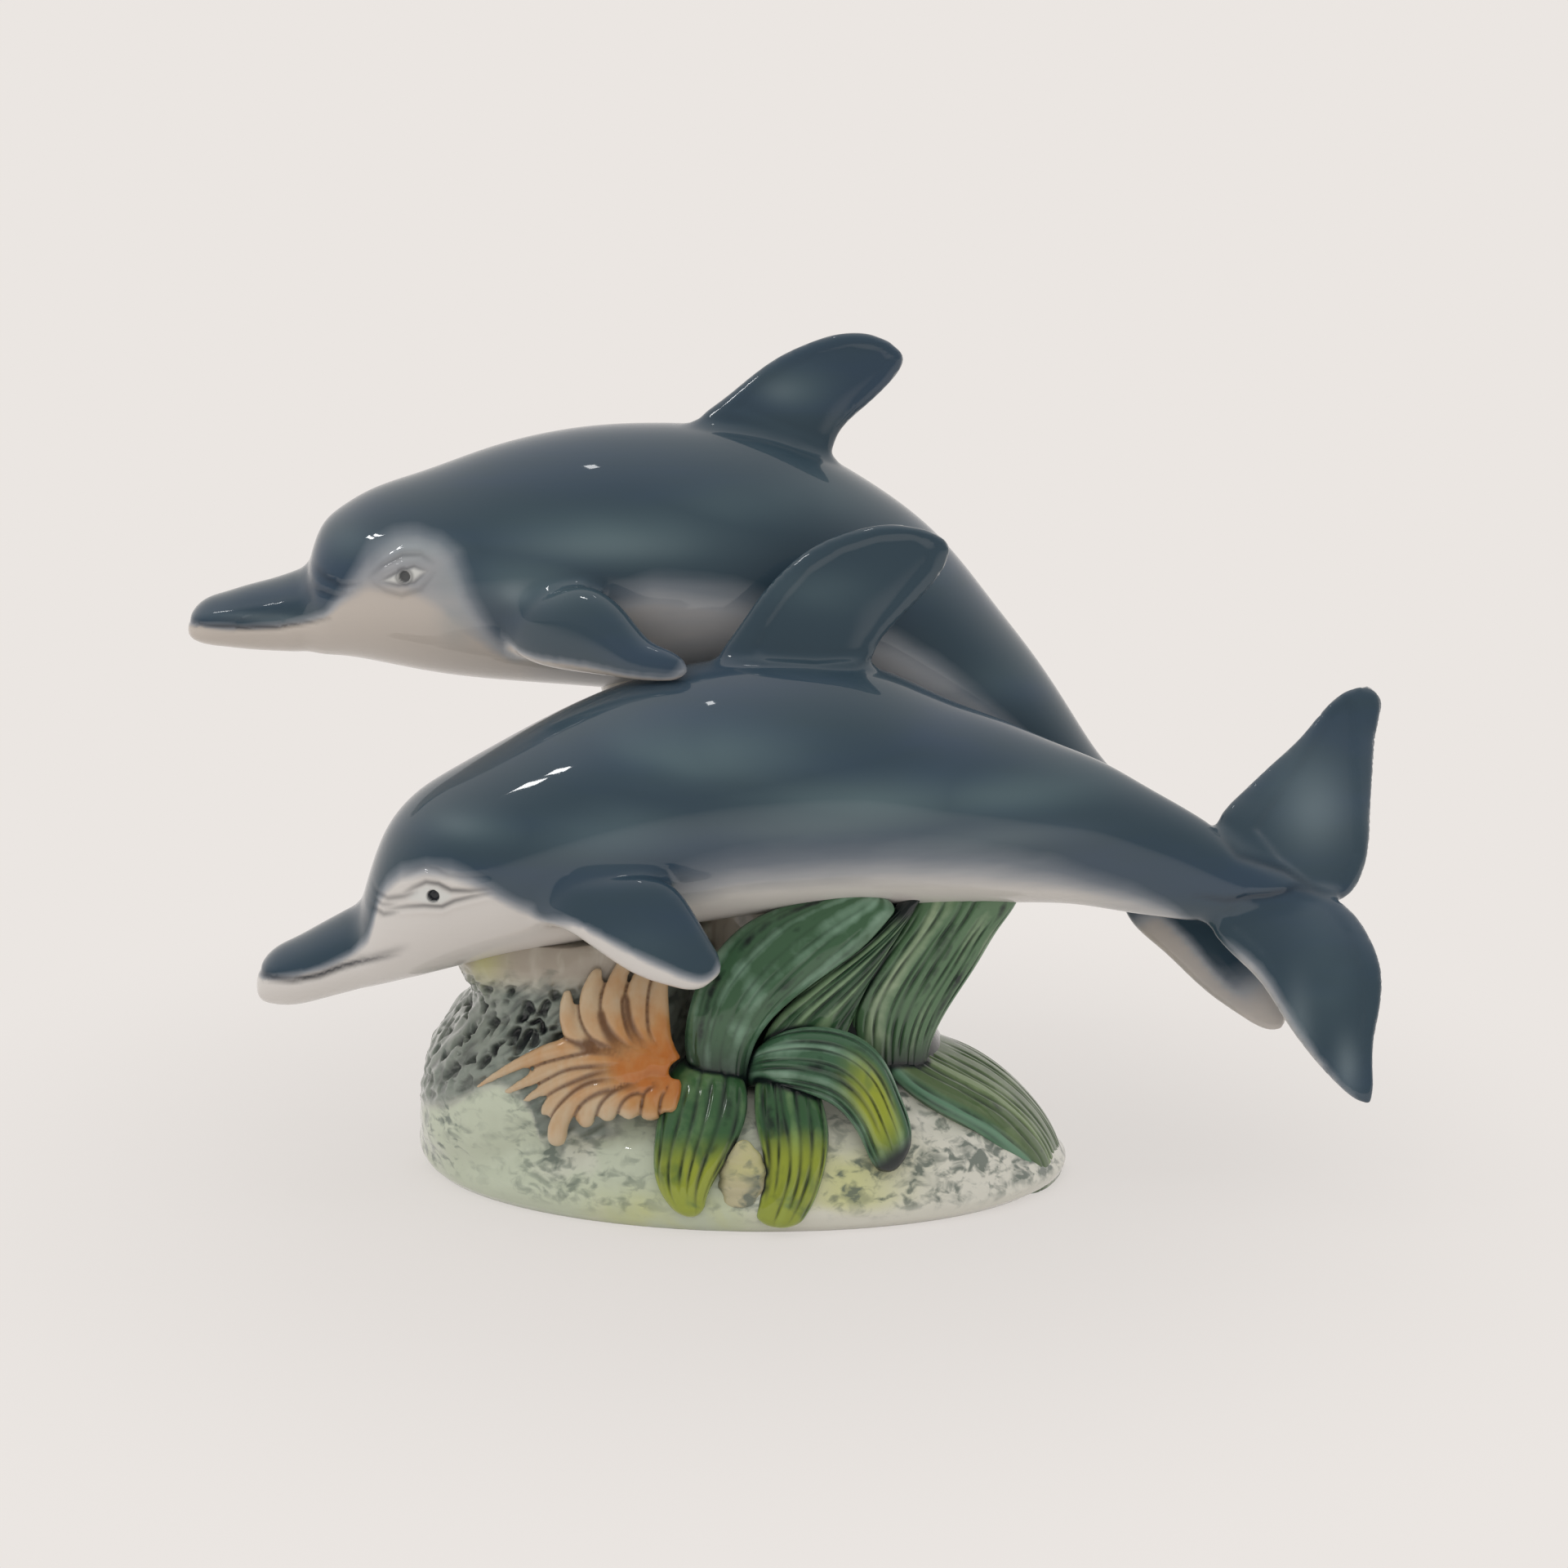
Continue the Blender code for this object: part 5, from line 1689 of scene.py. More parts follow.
@dataclass
class Leaf:
    """A leaf of weed with uneven ribs.

    Args:
        name: The piece's name.
        stations: Its edges and thickness.
        ribs: How many ribs run along it.
        depth: How deep the grooves between them are.
        glaze: Its paint.
        seed: What its unevenness starts from.
        glow: Where it is yellow-green: from, to and how much.
        glow_across: Where across it glows: from and to, -1 to 1.
        dark_root: How far up from its root it is dark.
        dark_tip: How far down from its tip it is dark.
        line: How dark the grooves are painted.
        fine: How narrow the grooves are, as a share of a rib.
        margins: How pale its left and right edges are.
        slant: How far the ribs run across the leaf, in widths.
        per_rib: How many points a rib has across it.
        count: How many sections the leaf has along it.
        shade: How dark each of its points is painted, once it is built.
    """

    name: str
    stations: Rows
    ribs: int
    depth: float
    glaze: LeafGlaze
    seed: int
    glow: tuple[float, float, float] = (0.0, 0.0, 0.0)
    glow_across: tuple[float, float] = (-1.2, 1.2)
    dark_root: float = 0.1
    dark_tip: float = 0.0
    line: float = 0.9
    fine: float = 0.17
    margins: tuple[float, float] = (0.0, 0.0)
    slant: float = 0.0
    per_rib: int = 11
    count: int = 100
    shade: Array | None = None

    def grooves(self, along: Array, share: Array) -> tuple[Array, Array]:
        """The grooves' shape, and how light each rib is painted.

        Args:
            along: The share along the leaf, a column.
            share: The share of the way over its face, 0 to 1, at each point.

        Returns:
            The groove at each point, 0 to 1, and the lightness, 0 to 1.
        """
        chance = np.random.default_rng(self.seed)
        place = (share + self.slant * along) * self.ribs
        groove = np.zeros(share.shape)
        light = np.full(groove.shape, 0.5)
        first = math.floor(min(0.0, self.slant) * self.ribs)
        last = math.ceil(self.ribs + max(0.0, self.slant) * self.ribs)
        for number in range(first, last + 1):
            shift, swing, phase, width, start, end, tint = chance.random(7)
            middle = number + 0.4 * (shift - 0.5)
            wave = np.sin((1.0 + 1.6 * phase) * math.pi * along + 6.0 * phase)
            middle = middle + 0.3 * (swing - 0.2) * wave
            spread = self.fine * (0.7 + 0.8 * width)
            strength = ease(0.22 * start, 0.22 * start + 0.12, along)
            strength = strength * ease(1.0 - 0.18 * end, 0.84 - 0.18 * end, along)
            swell = 0.75 + 0.25 * np.sin(7.0 * along * math.pi * (0.5 + swing) + 9.0 * shift)
            groove = np.maximum(groove, bell(place - middle, spread) * strength * swell)
            light = light + 0.75 * (tint - 0.5) * bell(place - middle - 0.5, 0.5)
        return groove, light

    def build(self) -> Skin:
        """Make the leaf with its ribs and paint."""
        centres, chords, normals, shares = blade_frames(self.stations, self.count)
        half = self.ribs * self.per_rib
        sweep = np.cos(np.linspace(math.pi, 0.0, half + 1)[:-1])
        even = np.linspace(-1, 1, half + 1)[:-1]
        front = 0.5 * sweep + 0.5 * even
        across = np.concatenate((front, -front))[None]
        face = np.concatenate((np.ones(half), -np.ones(half)))[None]
        along = np.linspace(0.0, 1.0, self.count)[:, None]
        taper = domed(self.count, 0.0, 0.07)[:, None]
        deep = np.maximum(LEAF_THICKNESS * shares, EDGE_THICKNESS)[:, None] / 2 * taper
        arch = np.maximum(1.0 - np.abs(across) ** 2.4, 0.0) ** 0.5
        wide = np.linalg.norm(chords, axis=1)[:, None] * across
        steps = np.hypot(np.diff(wide[:, : half + 1]), np.diff((deep * arch)[:, : half + 1]))
        reached = np.concatenate((np.zeros((self.count, 1)), np.cumsum(steps, axis=1)), axis=1)
        reached /= reached[:, -1:]
        share = np.concatenate((reached[:, :-1], reached[:, :0:-1]), axis=1)
        groove, light = self.grooves(along, share)
        inner = np.clip(np.minimum(share, 1.0 - share) * self.ribs * 1.8, 0.0, 1.0)
        height = (deep * arch - self.depth * groove * inner * taper) * face
        rings = centres[:, None] + chords[:, None] * (across * taper)[..., None]
        rings = rings + normals[:, None] * height[..., None]
        made = link(self.name, loft_mesh(self.name, [Loft(self.name, rings, across[0])]))
        with edited(made.data) as work:
            bmesh.ops.recalc_face_normals(work, faces=work.faces)
        skin = Skin(made)
        low, high, much = self.glow
        glow = much * ease(low - 0.12, low + 0.12, along) * ease(high + 0.12, high - 0.12, along)
        left, right = self.glow_across
        over = 2.0 * share - 1.0
        glow = glow * ease(left - 0.2, left + 0.2, over) * ease(right + 0.2, right - 0.2, over)
        dark = ease(self.dark_root, self.dark_root * 0.2, along)
        if self.dark_tip:
            tip = ease(1.0 - self.dark_tip, 1.0 - 0.4 * self.dark_tip, along)
            dark = np.maximum(dark, tip)
        pale = self.margins[0] * ease(-0.8, -0.93, over) + self.margins[1] * ease(0.8, 0.93, over)
        layers = {"groove": self.line * groove, "streak": light, "glow": glow, "margin": pale}
        for name, values in layers.items():
            skin.colour(name, np.broadcast_to(values, height.shape).ravel())
        self.shade = np.broadcast_to(dark, height.shape).ravel()
        return skin


def darken_seams(skins: Sequence[Skin], shades: Sequence[Array], beds: Sequence[Skin]) -> None:
    """Paint a dark line where leaves meet each other and the bed.

    Args:
        skins: The leaves.
        shades: How dark each leaf's points already are.
        beds: What else they touch.
    """
    trees = [skin.tree() for skin in (*skins, *beds)]
    for number, (skin, shade) in enumerate(zip(skins, shades)):
        gap = np.full(len(skin.points), OUT_OF_REACH)
        for tree in trees[:number] + trees[number + 1 :]:
            found = [tree.find_nearest(point, RAY_REACH)[3] for point in skin.points]
            gap = np.minimum(gap, [OUT_OF_REACH if f is None else f for f in found])
        # Darker within 1.5 mm of another piece: partly the dark outline of the joins, partly
        # painted shade in the narrow gaps
        skin.colour("dark", np.maximum(shade, ease(1.5, 0.4, gap)))


@dataclass
class Anemone:
    """The anemone that clings to the rock.

    Args:
        name: The piece's name.
        arms: Its arms (see the table).
        sink: How far an arm's middle lies above the rock, in half-widths.
        voxel: The grid its arms are melted on.
        glaze: Its paint.
    """

    name: str = "anemone"
    arms: Sequence[tuple[Rows, float, Triple]] = field(default_factory=lambda: ANEMONE_ARMS)
    sink: float = 0.35
    voxel: float = 0.75
    glaze: AnemoneGlaze = field(default_factory=lambda: AnemoneGlaze("anemone_glaze"))

    def build(self, bed: BVHTree) -> Skin:
        """Lay the arms on the bed and paint them."""
        lofts = []
        for line, depth, sizes in self.arms:
            spots = []
            radii = np.interp(np.linspace(0.0, 1.0, len(line)), (0.0, 0.5, 1.0), sizes)
            for (x, z), radius in zip(line, radii):
                aim = (Vector((x, depth, z)) - CAMERA).normalized()
                hit = bed.ray_cast(CAMERA, aim)[0]
                spot = hit if hit is not None else Vector((x, depth, z))
                spots.append(spot - aim * radius * self.sink)
            lofts.append(tube_loft("arm", np.array(spots), radii))
        skin = fused(self.name, lofts, self.voxel, 2, exact=False)
        _, along, _ = skin.whose(lofts)
        tree = KDTree(sum(loft.rings.shape[0] for loft in lofts))
        middles = [ring.mean(axis=0) for loft in lofts for ring in loft.rings]
        owner = [i for i, loft in enumerate(lofts) for _ in loft.rings]
        for i, middle in enumerate(middles):
            tree.insert(middle, i)
        tree.balance()
        crease = np.zeros(len(skin.points))
        for i, point in enumerate(skin.points):
            best: dict[int, float] = {}
            for _, spot, gap in tree.find_n(point, 24):
                best[owner[spot]] = min(gap, best.get(owner[spot], 99.0))
            ranked = sorted(best.values())
            crease[i] = ranked[1] - ranked[0] if len(ranked) > 1 else OUT_OF_REACH
        hub = ease(6.0, 16.0, np.linalg.norm(skin.side_view - (-19.0, 37.5), axis=1))
        out = 0.55 * skin.soften(along, 4) + 0.45 * hub
        # Brown painted shade where arms crowd together, darker the nearer two arms lie
        shade = ease(0.9, 0.1, crease) * ease(0.12, 0.4, along)
        skin.push(-0.35 * ease(1.0, 0.1, crease) * ease(0.1, 0.3, along))
        skin.colour("out", out)
        skin.colour("crease", skin.soften(shade, 1) * 0.85)
        finish_piece(skin.made, self.glaze.material())
        return skin


@dataclass
class Pebble:
    """The smooth shell that lies between the two front leaves.

    Args:
        name: The piece's name.
        centre: Its middle.
        size: Its width, depth and height.
        glaze: Its paint.
    """

    name: str = "pebble"
    centre: Triple = PEBBLE_CENTRE
    size: Triple = PEBBLE_SIZE
    glaze: BedGlaze = field(
        default_factory=lambda: BedGlaze("pebble_glaze", chalk=paint(196, 188, 152))
    )

    def build(self) -> Skin:
        """Make a pointed shell with folds."""
        work = bmesh.new()
        bmesh.ops.create_uvsphere(work, u_segments=64, v_segments=48, radius=0.5)
        for vert in work.verts:
            narrow = 1.0 - 0.25 * float(ease(0.1, 0.5, np.array(vert.co.z)))
            fold = narrow - 0.05 * (1.0 + math.sin(34.0 * vert.co.z))
            vert.co.x = (vert.co.x * self.size[0] * fold + self.centre[0]) * MM
            vert.co.y = (vert.co.y * self.size[1] * fold + self.centre[1]) * MM
            vert.co.z = (vert.co.z * self.size[2] + self.centre[2]) * MM
        mesh = bpy.data.meshes.new(self.name)
        work.to_mesh(mesh)
        work.free()
        skin = Skin(link(self.name, mesh))
        x, _, z = skin.points.T
        across = np.abs(x - self.centre[0]) / self.size[0] * 2.0
        skin.colour("mottle", np.full(len(x), 0.9))
        skin.colour("lemon", 0.4 * ease(12.0, 17.0, z))
        skin.colour("dark", 0.55 * ease(0.66, 0.95, across))
        finish_piece(skin.made, self.glaze.material())
        return skin


# The studio


class Lamp(Enum):
    """The studio's lamps: (direction, distance, width, height, brightness)."""

    KEY_LEFT = ((-0.665, -0.27, 0.715), 1150.0, 110.0, 34.0, 24.0)
    KEY_RIGHT = ((-0.615, -0.29, 0.75), 1150.0, 110.0, 34.0, 24.0)
    TOP = ((-0.20, -0.04, 0.98), 1300.0, 90.0, 40.0, 11.0)


@dataclass
class Studio:
    """Floor, world, lamps and camera.

    Args:
        backdrop: The pale background.
        floor: The floor's own colour.
        sky_colour: The colour of the light from all round.
        sky: How bright that light is.
        dim: How bright the backdrop looks in the glaze on the camera's side.
        dusk: From where to where the backdrop brightens in the glaze, front to back.
        tilt: How much more of it lies overhead.
        shade: How much the floor shows of the object's shadow.
        fade: The same as dusk for the floor, in metres along Y.
        clear_from: How far from the object the floor starts to be plain.
        clear_to: How far out it is all plain.
        floor_half: Half the floor's side, in metres.
    """

    backdrop: Colour = paint(235, 230, 226)
    floor: Colour = (0.80, 0.775, 0.755)
    sky_colour: Colour = (1.0, 0.985, 0.97)
    sky: float = 0.84
    dim: float = 0.2
    dusk: tuple[float, float] = (-0.7, 0.7)
    tilt: float = 0.3
    shade: float = 0.36
    fade: tuple[float, float] = (-1.1, -0.25)
    clear_from: float = 0.10
    clear_to: float = 0.26
    floor_half: float = 30.0

    def build(self) -> None:
        """Set it all up."""
        self.add_world()
        self.add_floor()
        for lamp in Lamp:
            self.add_lamp(lamp)
        self.add_camera()

    def backed(
        self, graph: Graph, kind: str, bright: Value, lit: bpy.types.Node, share: Value | float
    ) -> bpy.types.Node:
        """Show the backdrop to the rays that look for it, and light to the rest.

        Args:
            graph: The floor's or world's nodes.
            kind: The node that shines there.
            bright: Where the backdrop is bright in the glaze, not dim.
            lit: What all other rays find.
            share: How much of the backdrop is shown.

        Returns:
            The mixed shader.
        """
        dim, full = (
            graph.add(kind, {}, {"Color": self.backdrop, "Strength": level})
            for level in (self.dim, 1.0)
        )
        straight, seen = self.rays(graph)
        plain = graph.blend((bright + straight).held(), dim, full)
        return graph.blend(share * seen, lit, plain)

    @staticmethod
    def rays(graph: Graph) -> tuple[Value, Value]:
        """1 for straight rays, and 1 for straight, mirrored and refracted ones."""
        path = graph.add("ShaderNodeLightPath")
        names = ("Is Camera Ray", "Is Glossy Ray", "Is Transmission Ray")
        camera, glossy, through_glass = (Value(graph, path.outputs[name]) for name in names)
        return camera, (camera + glossy + through_glass).held()

    def add_world(self) -> None:
        """Even light, and the backdrop behind, dimmer on the camera's side."""
        world = bpy.data.worlds.new("studio")
        bpy.context.scene.world = world
        world.use_nodes = True
        graph = Graph(world)
        where = graph.add("ShaderNodeTexCoord").outputs["Generated"]
        parts = graph.add("ShaderNodeSeparateXYZ", {}, {0: where})
        back = Value(graph, parts.outputs["Y"]) + self.tilt * Value(graph, parts.outputs["Z"])
        light = graph.add(
            "ShaderNodeBackground", {}, {"Color": self.sky_colour, "Strength": self.sky}
        )
        mix = self.backed(graph, "ShaderNodeBackground", back.step(*self.dusk), light, 1.0)
        graph.feed(graph.tree.nodes["World Output"].inputs["Surface"], mix.outputs[0])

    def add_floor(self) -> None:
        """A wide floor, plain away from the object and shaded beneath it."""
        mesh = bpy.data.meshes.new("floor")
        half = self.floor_half
        corners = [(-half, -half, 0.0), (half, -half, 0.0), (half, half, 0.0), (-half, half, 0.0)]
        mesh.from_pydata(corners, [], [(0, 1, 2, 3)])
        floor = link("floor", mesh)
        graph = Graph.named("floor")
        where = graph.add("ShaderNodeTexCoord").outputs["Object"]
        away = graph.add("ShaderNodeVectorMath", {"operation": "LENGTH"}, {0: where})
        far = Value(graph, away.outputs["Value"]).step(self.clear_from, self.clear_to)
        matt = graph.add("ShaderNodeBsdfDiffuse", {}, {"Color": self.floor})
        depth = graph.add("ShaderNodeSeparateXYZ", {}, {0: where}).outputs["Y"]
        bright = Value(graph, depth).step(*self.fade)
        share = far * self.shade + (1.0 - self.shade)
        mix = self.backed(graph, "ShaderNodeEmission", bright, matt, share)
        graph.feed(graph.tree.nodes["Material Output"].inputs["Surface"], mix.outputs[0])
        mesh.materials.append(graph.owner)

    def add_lamp(self, lamp: Lamp) -> None:
        """One oblong soft box aimed at the object."""
        direction, distance, width, height, brightness = lamp.value
        data = bpy.data.lights.new(lamp.name.lower(), "AREA")
        data.shape = "RECTANGLE"
        data.size = width * MM
        data.size_y = height * MM
        data.energy = brightness * math.pi * data.size * data.size_y
        made = bpy.data.objects.new(data.name, data)
        away = Vector(direction).normalized()
        made.location = (TARGET + distance * away) * MM
        made.rotation_euler = away.to_track_quat("Z", "Y").to_euler()
        bpy.context.scene.collection.objects.link(made)

    def add_camera(self) -> None:
        """The camera at the photograph's angle."""
        data = bpy.data.cameras.new("camera")
        data.lens = LENS
        data.sensor_width = SENSOR
        camera = bpy.data.objects.new("camera", data)
        camera.location = CAMERA * MM
        camera.rotation_euler = (math.radians(90.0) - ELEVATION, 0.0, 0.0)
        bpy.context.scene.collection.objects.link(camera)
        bpy.context.scene.camera = camera
        bpy.context.scene.view_settings.view_transform = "Standard"


# What is made


def near_dolphin() -> Dolphin:
    """The dolphin in front."""
    upper = [
        (-79.7, 80.8), (-76.6, 82.9), (-73.5, 84.5), (-70.5, 84.3), (-67.5, 82.9), (-62.9, 82.9),
        (-58.0, 83.5),
    ]
    lower = [
        (-83.6, 76.9), (-78.2, 78.2), (-74.0, 78.8), (-69.8, 78.8), (-66.8, 80.3), (-63.0, 81.4),
        (-57.6, 82.7),
    ]
    white = [
        (-78.6, 79.8), (-76.2, 82.4), (-73.3, 84.0), (-70.5, 83.8), (-67.5, 82.2), (-67.2, 80.6),
        (-69.8, 79.2), (-74.0, 79.2),
    ]
    return Dolphin(
        name="near_dolphin",
        plane=NEAR_Y,
        body=NEAR_BODY,
        beak=NEAR_BEAK,
        fin=NEAR_FIN,
        flippers=(NEAR_FLIPPER, NEAR_FLIPPER),
        flukes=(
            Lobe(NEAR_FLUKE_HIGH, 1.0, 0.86, 1.0, 0.45),
            Lobe(NEAR_FLUKE_LOW, -1.0, 0.7, 1.0, 0.8),
        ),
        least=[(-200.0, 0.0), (40.0, 0.0), (70.0, 0.08), (104.0, 0.3), (200.0, 0.4)],
        clearings=(),
        edge=[
            (-120.0, 56.6, 0.9), (-115.4, 56.6, 0.9), (-107.2, 57.7, 1.0), (-99.4, 60.3, 1.2),
            (-93.1, 63.9, 1.6), (-88.6, 68.4, 3.0), (-86.8, 74.0, 4.0), (-85.6, 79.0, 4.6),
            (-83.4, 82.6, 4.8), (-79.6, 86.1, 5.0), (-73.4, 88.1, 5.2), (-67.4, 88.1, 5.6),
            (-62.9, 86.5, 5.6), (-58.4, 84.0, 5.4), (-55.4, 82.0, 5.0), (-51.6, 79.6, 5.0),
            (-45.6, 77.3, 5.0), (-39.3, 78.1, 8.0), (-27.7, 79.1, 12.0), (-10.4, 86.0, 14.0),
            (-0.9, 88.4, 14.0), (18.2, 89.6, 15.0), (37.3, 89.6, 15.0), (56.4, 87.4, 13.0),
            (75.6, 83.6, 11.0), (94.8, 76.6, 8.0), (104.5, 71.4, 6.0), (114.3, 62.0, 4.0),
            (124.0, 50.0, 3.0), (160.0, 0.0, 3.0),
        ],
        eye=Eye(
            centre=(-71.8, 81.3),
            white=white,
            lids=(
                Stroke(upper, 0.6, 0.45, 0.7),
                Stroke(lower, 0.55, 0.4, 0.65),
                Stroke([(x, z + 1.6) for x, z in upper], 0.9, -0.45),
                Stroke([(x, z - 1.5) for x, z in lower], 0.8, -0.3),
                Stroke([(x - 0.5, z + 3.4) for x, z in upper], 0.8, 0.3, 0.18),
                Stroke([
                    (-88.4, 82.4), (-86.0, 80.2), (-83.1, 79.5), (-79.0, 80.6), (-76.0, 82.0),
                ], 0.7, 0.4, 0.6),
                Stroke([
                    (-91.0, 78.8), (-87.6, 76.9), (-84.2, 75.6), (-80.6, 76.6),
                ], 0.7, 0.4, 0.65),
                Stroke([
                    (-90.4, 80.6), (-87.6, 79.0), (-84.6, 77.8), (-81.0, 78.4),
                ], 0.6, 0.35, 0.5),
            ),
        ),
        strokes=(
            Stroke(
                [
                    (-118.5, 56.9), (-115.4, 56.9), (-107.3, 56.5), (-101.0, 57.8), (-95.5, 60.3),
                    (-87.7, 63.1), (-81.4, 65.1),
                ],
                0.8, 0.9, 1.0, False,
            ),
            Stroke([(-92.6, 62.3), (-87.7, 63.9), (-82.4, 66.0), (-79.0, 67.6)], 1.1, 0.1, 0.42),
            Stroke([(-92.5, 79.5), (-90.2, 75.0), (-89.0, 71.0)], 1.4, 0.6, 0.5),
            Stroke([
                (-0.4, 134.4), (6.7, 133.4), (18.3, 132.8), (28.0, 133.2), (31.6, 135.0),
            ], 0.9, -0.7),
            Stroke([
                (109.2, 75.6), (117.0, 74.2), (127.0, 75.2), (134.2, 76.8), (145.5, 73.8),
            ], 0.9, 0.6, 0.5),
            Stroke([
                (114.0, 91.4), (120.1, 84.7), (131.7, 80.6), (137.9, 76.9), (146.2, 72.6),
            ], 0.9, 0.6, 0.4),
        ),
        plates=(
            (
                [
                    (2.9, 136.3), (5.8, 142.2), (10.6, 149.1), (16.4, 155.6), (24.0, 160.4),
                    (32.7, 163.2), (41.3, 163.8), (46.3, 161.2), (45.2, 156.0), (39.9, 149.5),
                    (34.7, 143.2), (30.7, 137.3), (29.5, 134.2), (18.3, 133.4), (6.7, 134.2),
                ],
                0.7,
            ),
            (
                [
                    (124.1, 90.3), (131.8, 99.1), (138.5, 106.6), (144.3, 114.4), (149.3, 118.2),
                    (151.4, 114.8), (150.6, 104.6), (150.9, 93.3), (151.1, 83.0), (146.6, 74.8),
                    (138.5, 76.8), (130.3, 83.0),
                ],
                0.8,
            ),
            (
                [
                    (115.7, 69.9), (125.7, 61.8), (132.9, 50.5), (139.1, 40.7), (146.2, 33.5),
                    (149.7, 35.1), (149.2, 47.5), (149.6, 57.7), (146.9, 67.8), (142.8, 73.9),
                    (132.9, 76.0), (121.3, 76.0),
                ],
                0.6,
            ),
        ),
        patches=[
            (-10.0, 116.0, 26.0, 7.0, 0.8), (28.0, 104.0, 26.0, 6.0, 0.85),
            (-30.0, 98.0, 16.0, 7.0, 0.55),
            (64.0, 104.0, 22.0, 5.0, 0.7), (-62.0, 98.0, 12.0, 4.0, 0.5),
            (138.0, 96.0, 9.0, 8.0, 0.9),
            (140.0, 62.0, 6.0, 12.0, 0.5), (20.0, 150.0, 10.0, 5.0, 0.35),
            (-22.0, 72.0, 9.0, 5.0, 0.3),
        ],
        # Painted highlights: a soft glow on the upper fluke, streaks on the lower fluke, faint
        # streaks along the flank and behind the eye
        painted_highlights=[
            (140.0, 93.0, 8.0, 9.0, 0.36), (134.0, 47.0, 3.0, 9.0, 0.3),
            (145.0, 38.0, 2.6, 6.0, 0.4),
            (16.0, 98.0, 24.0, 3.4, 0.16), (60.0, 94.0, 20.0, 3.0, 0.2),
            (-66.0, 97.6, 6.0, 2.4, 0.16),
        ],
        rim=0.42,
        glaze=DolphinGlaze("near_dolphin_glaze"),
    )


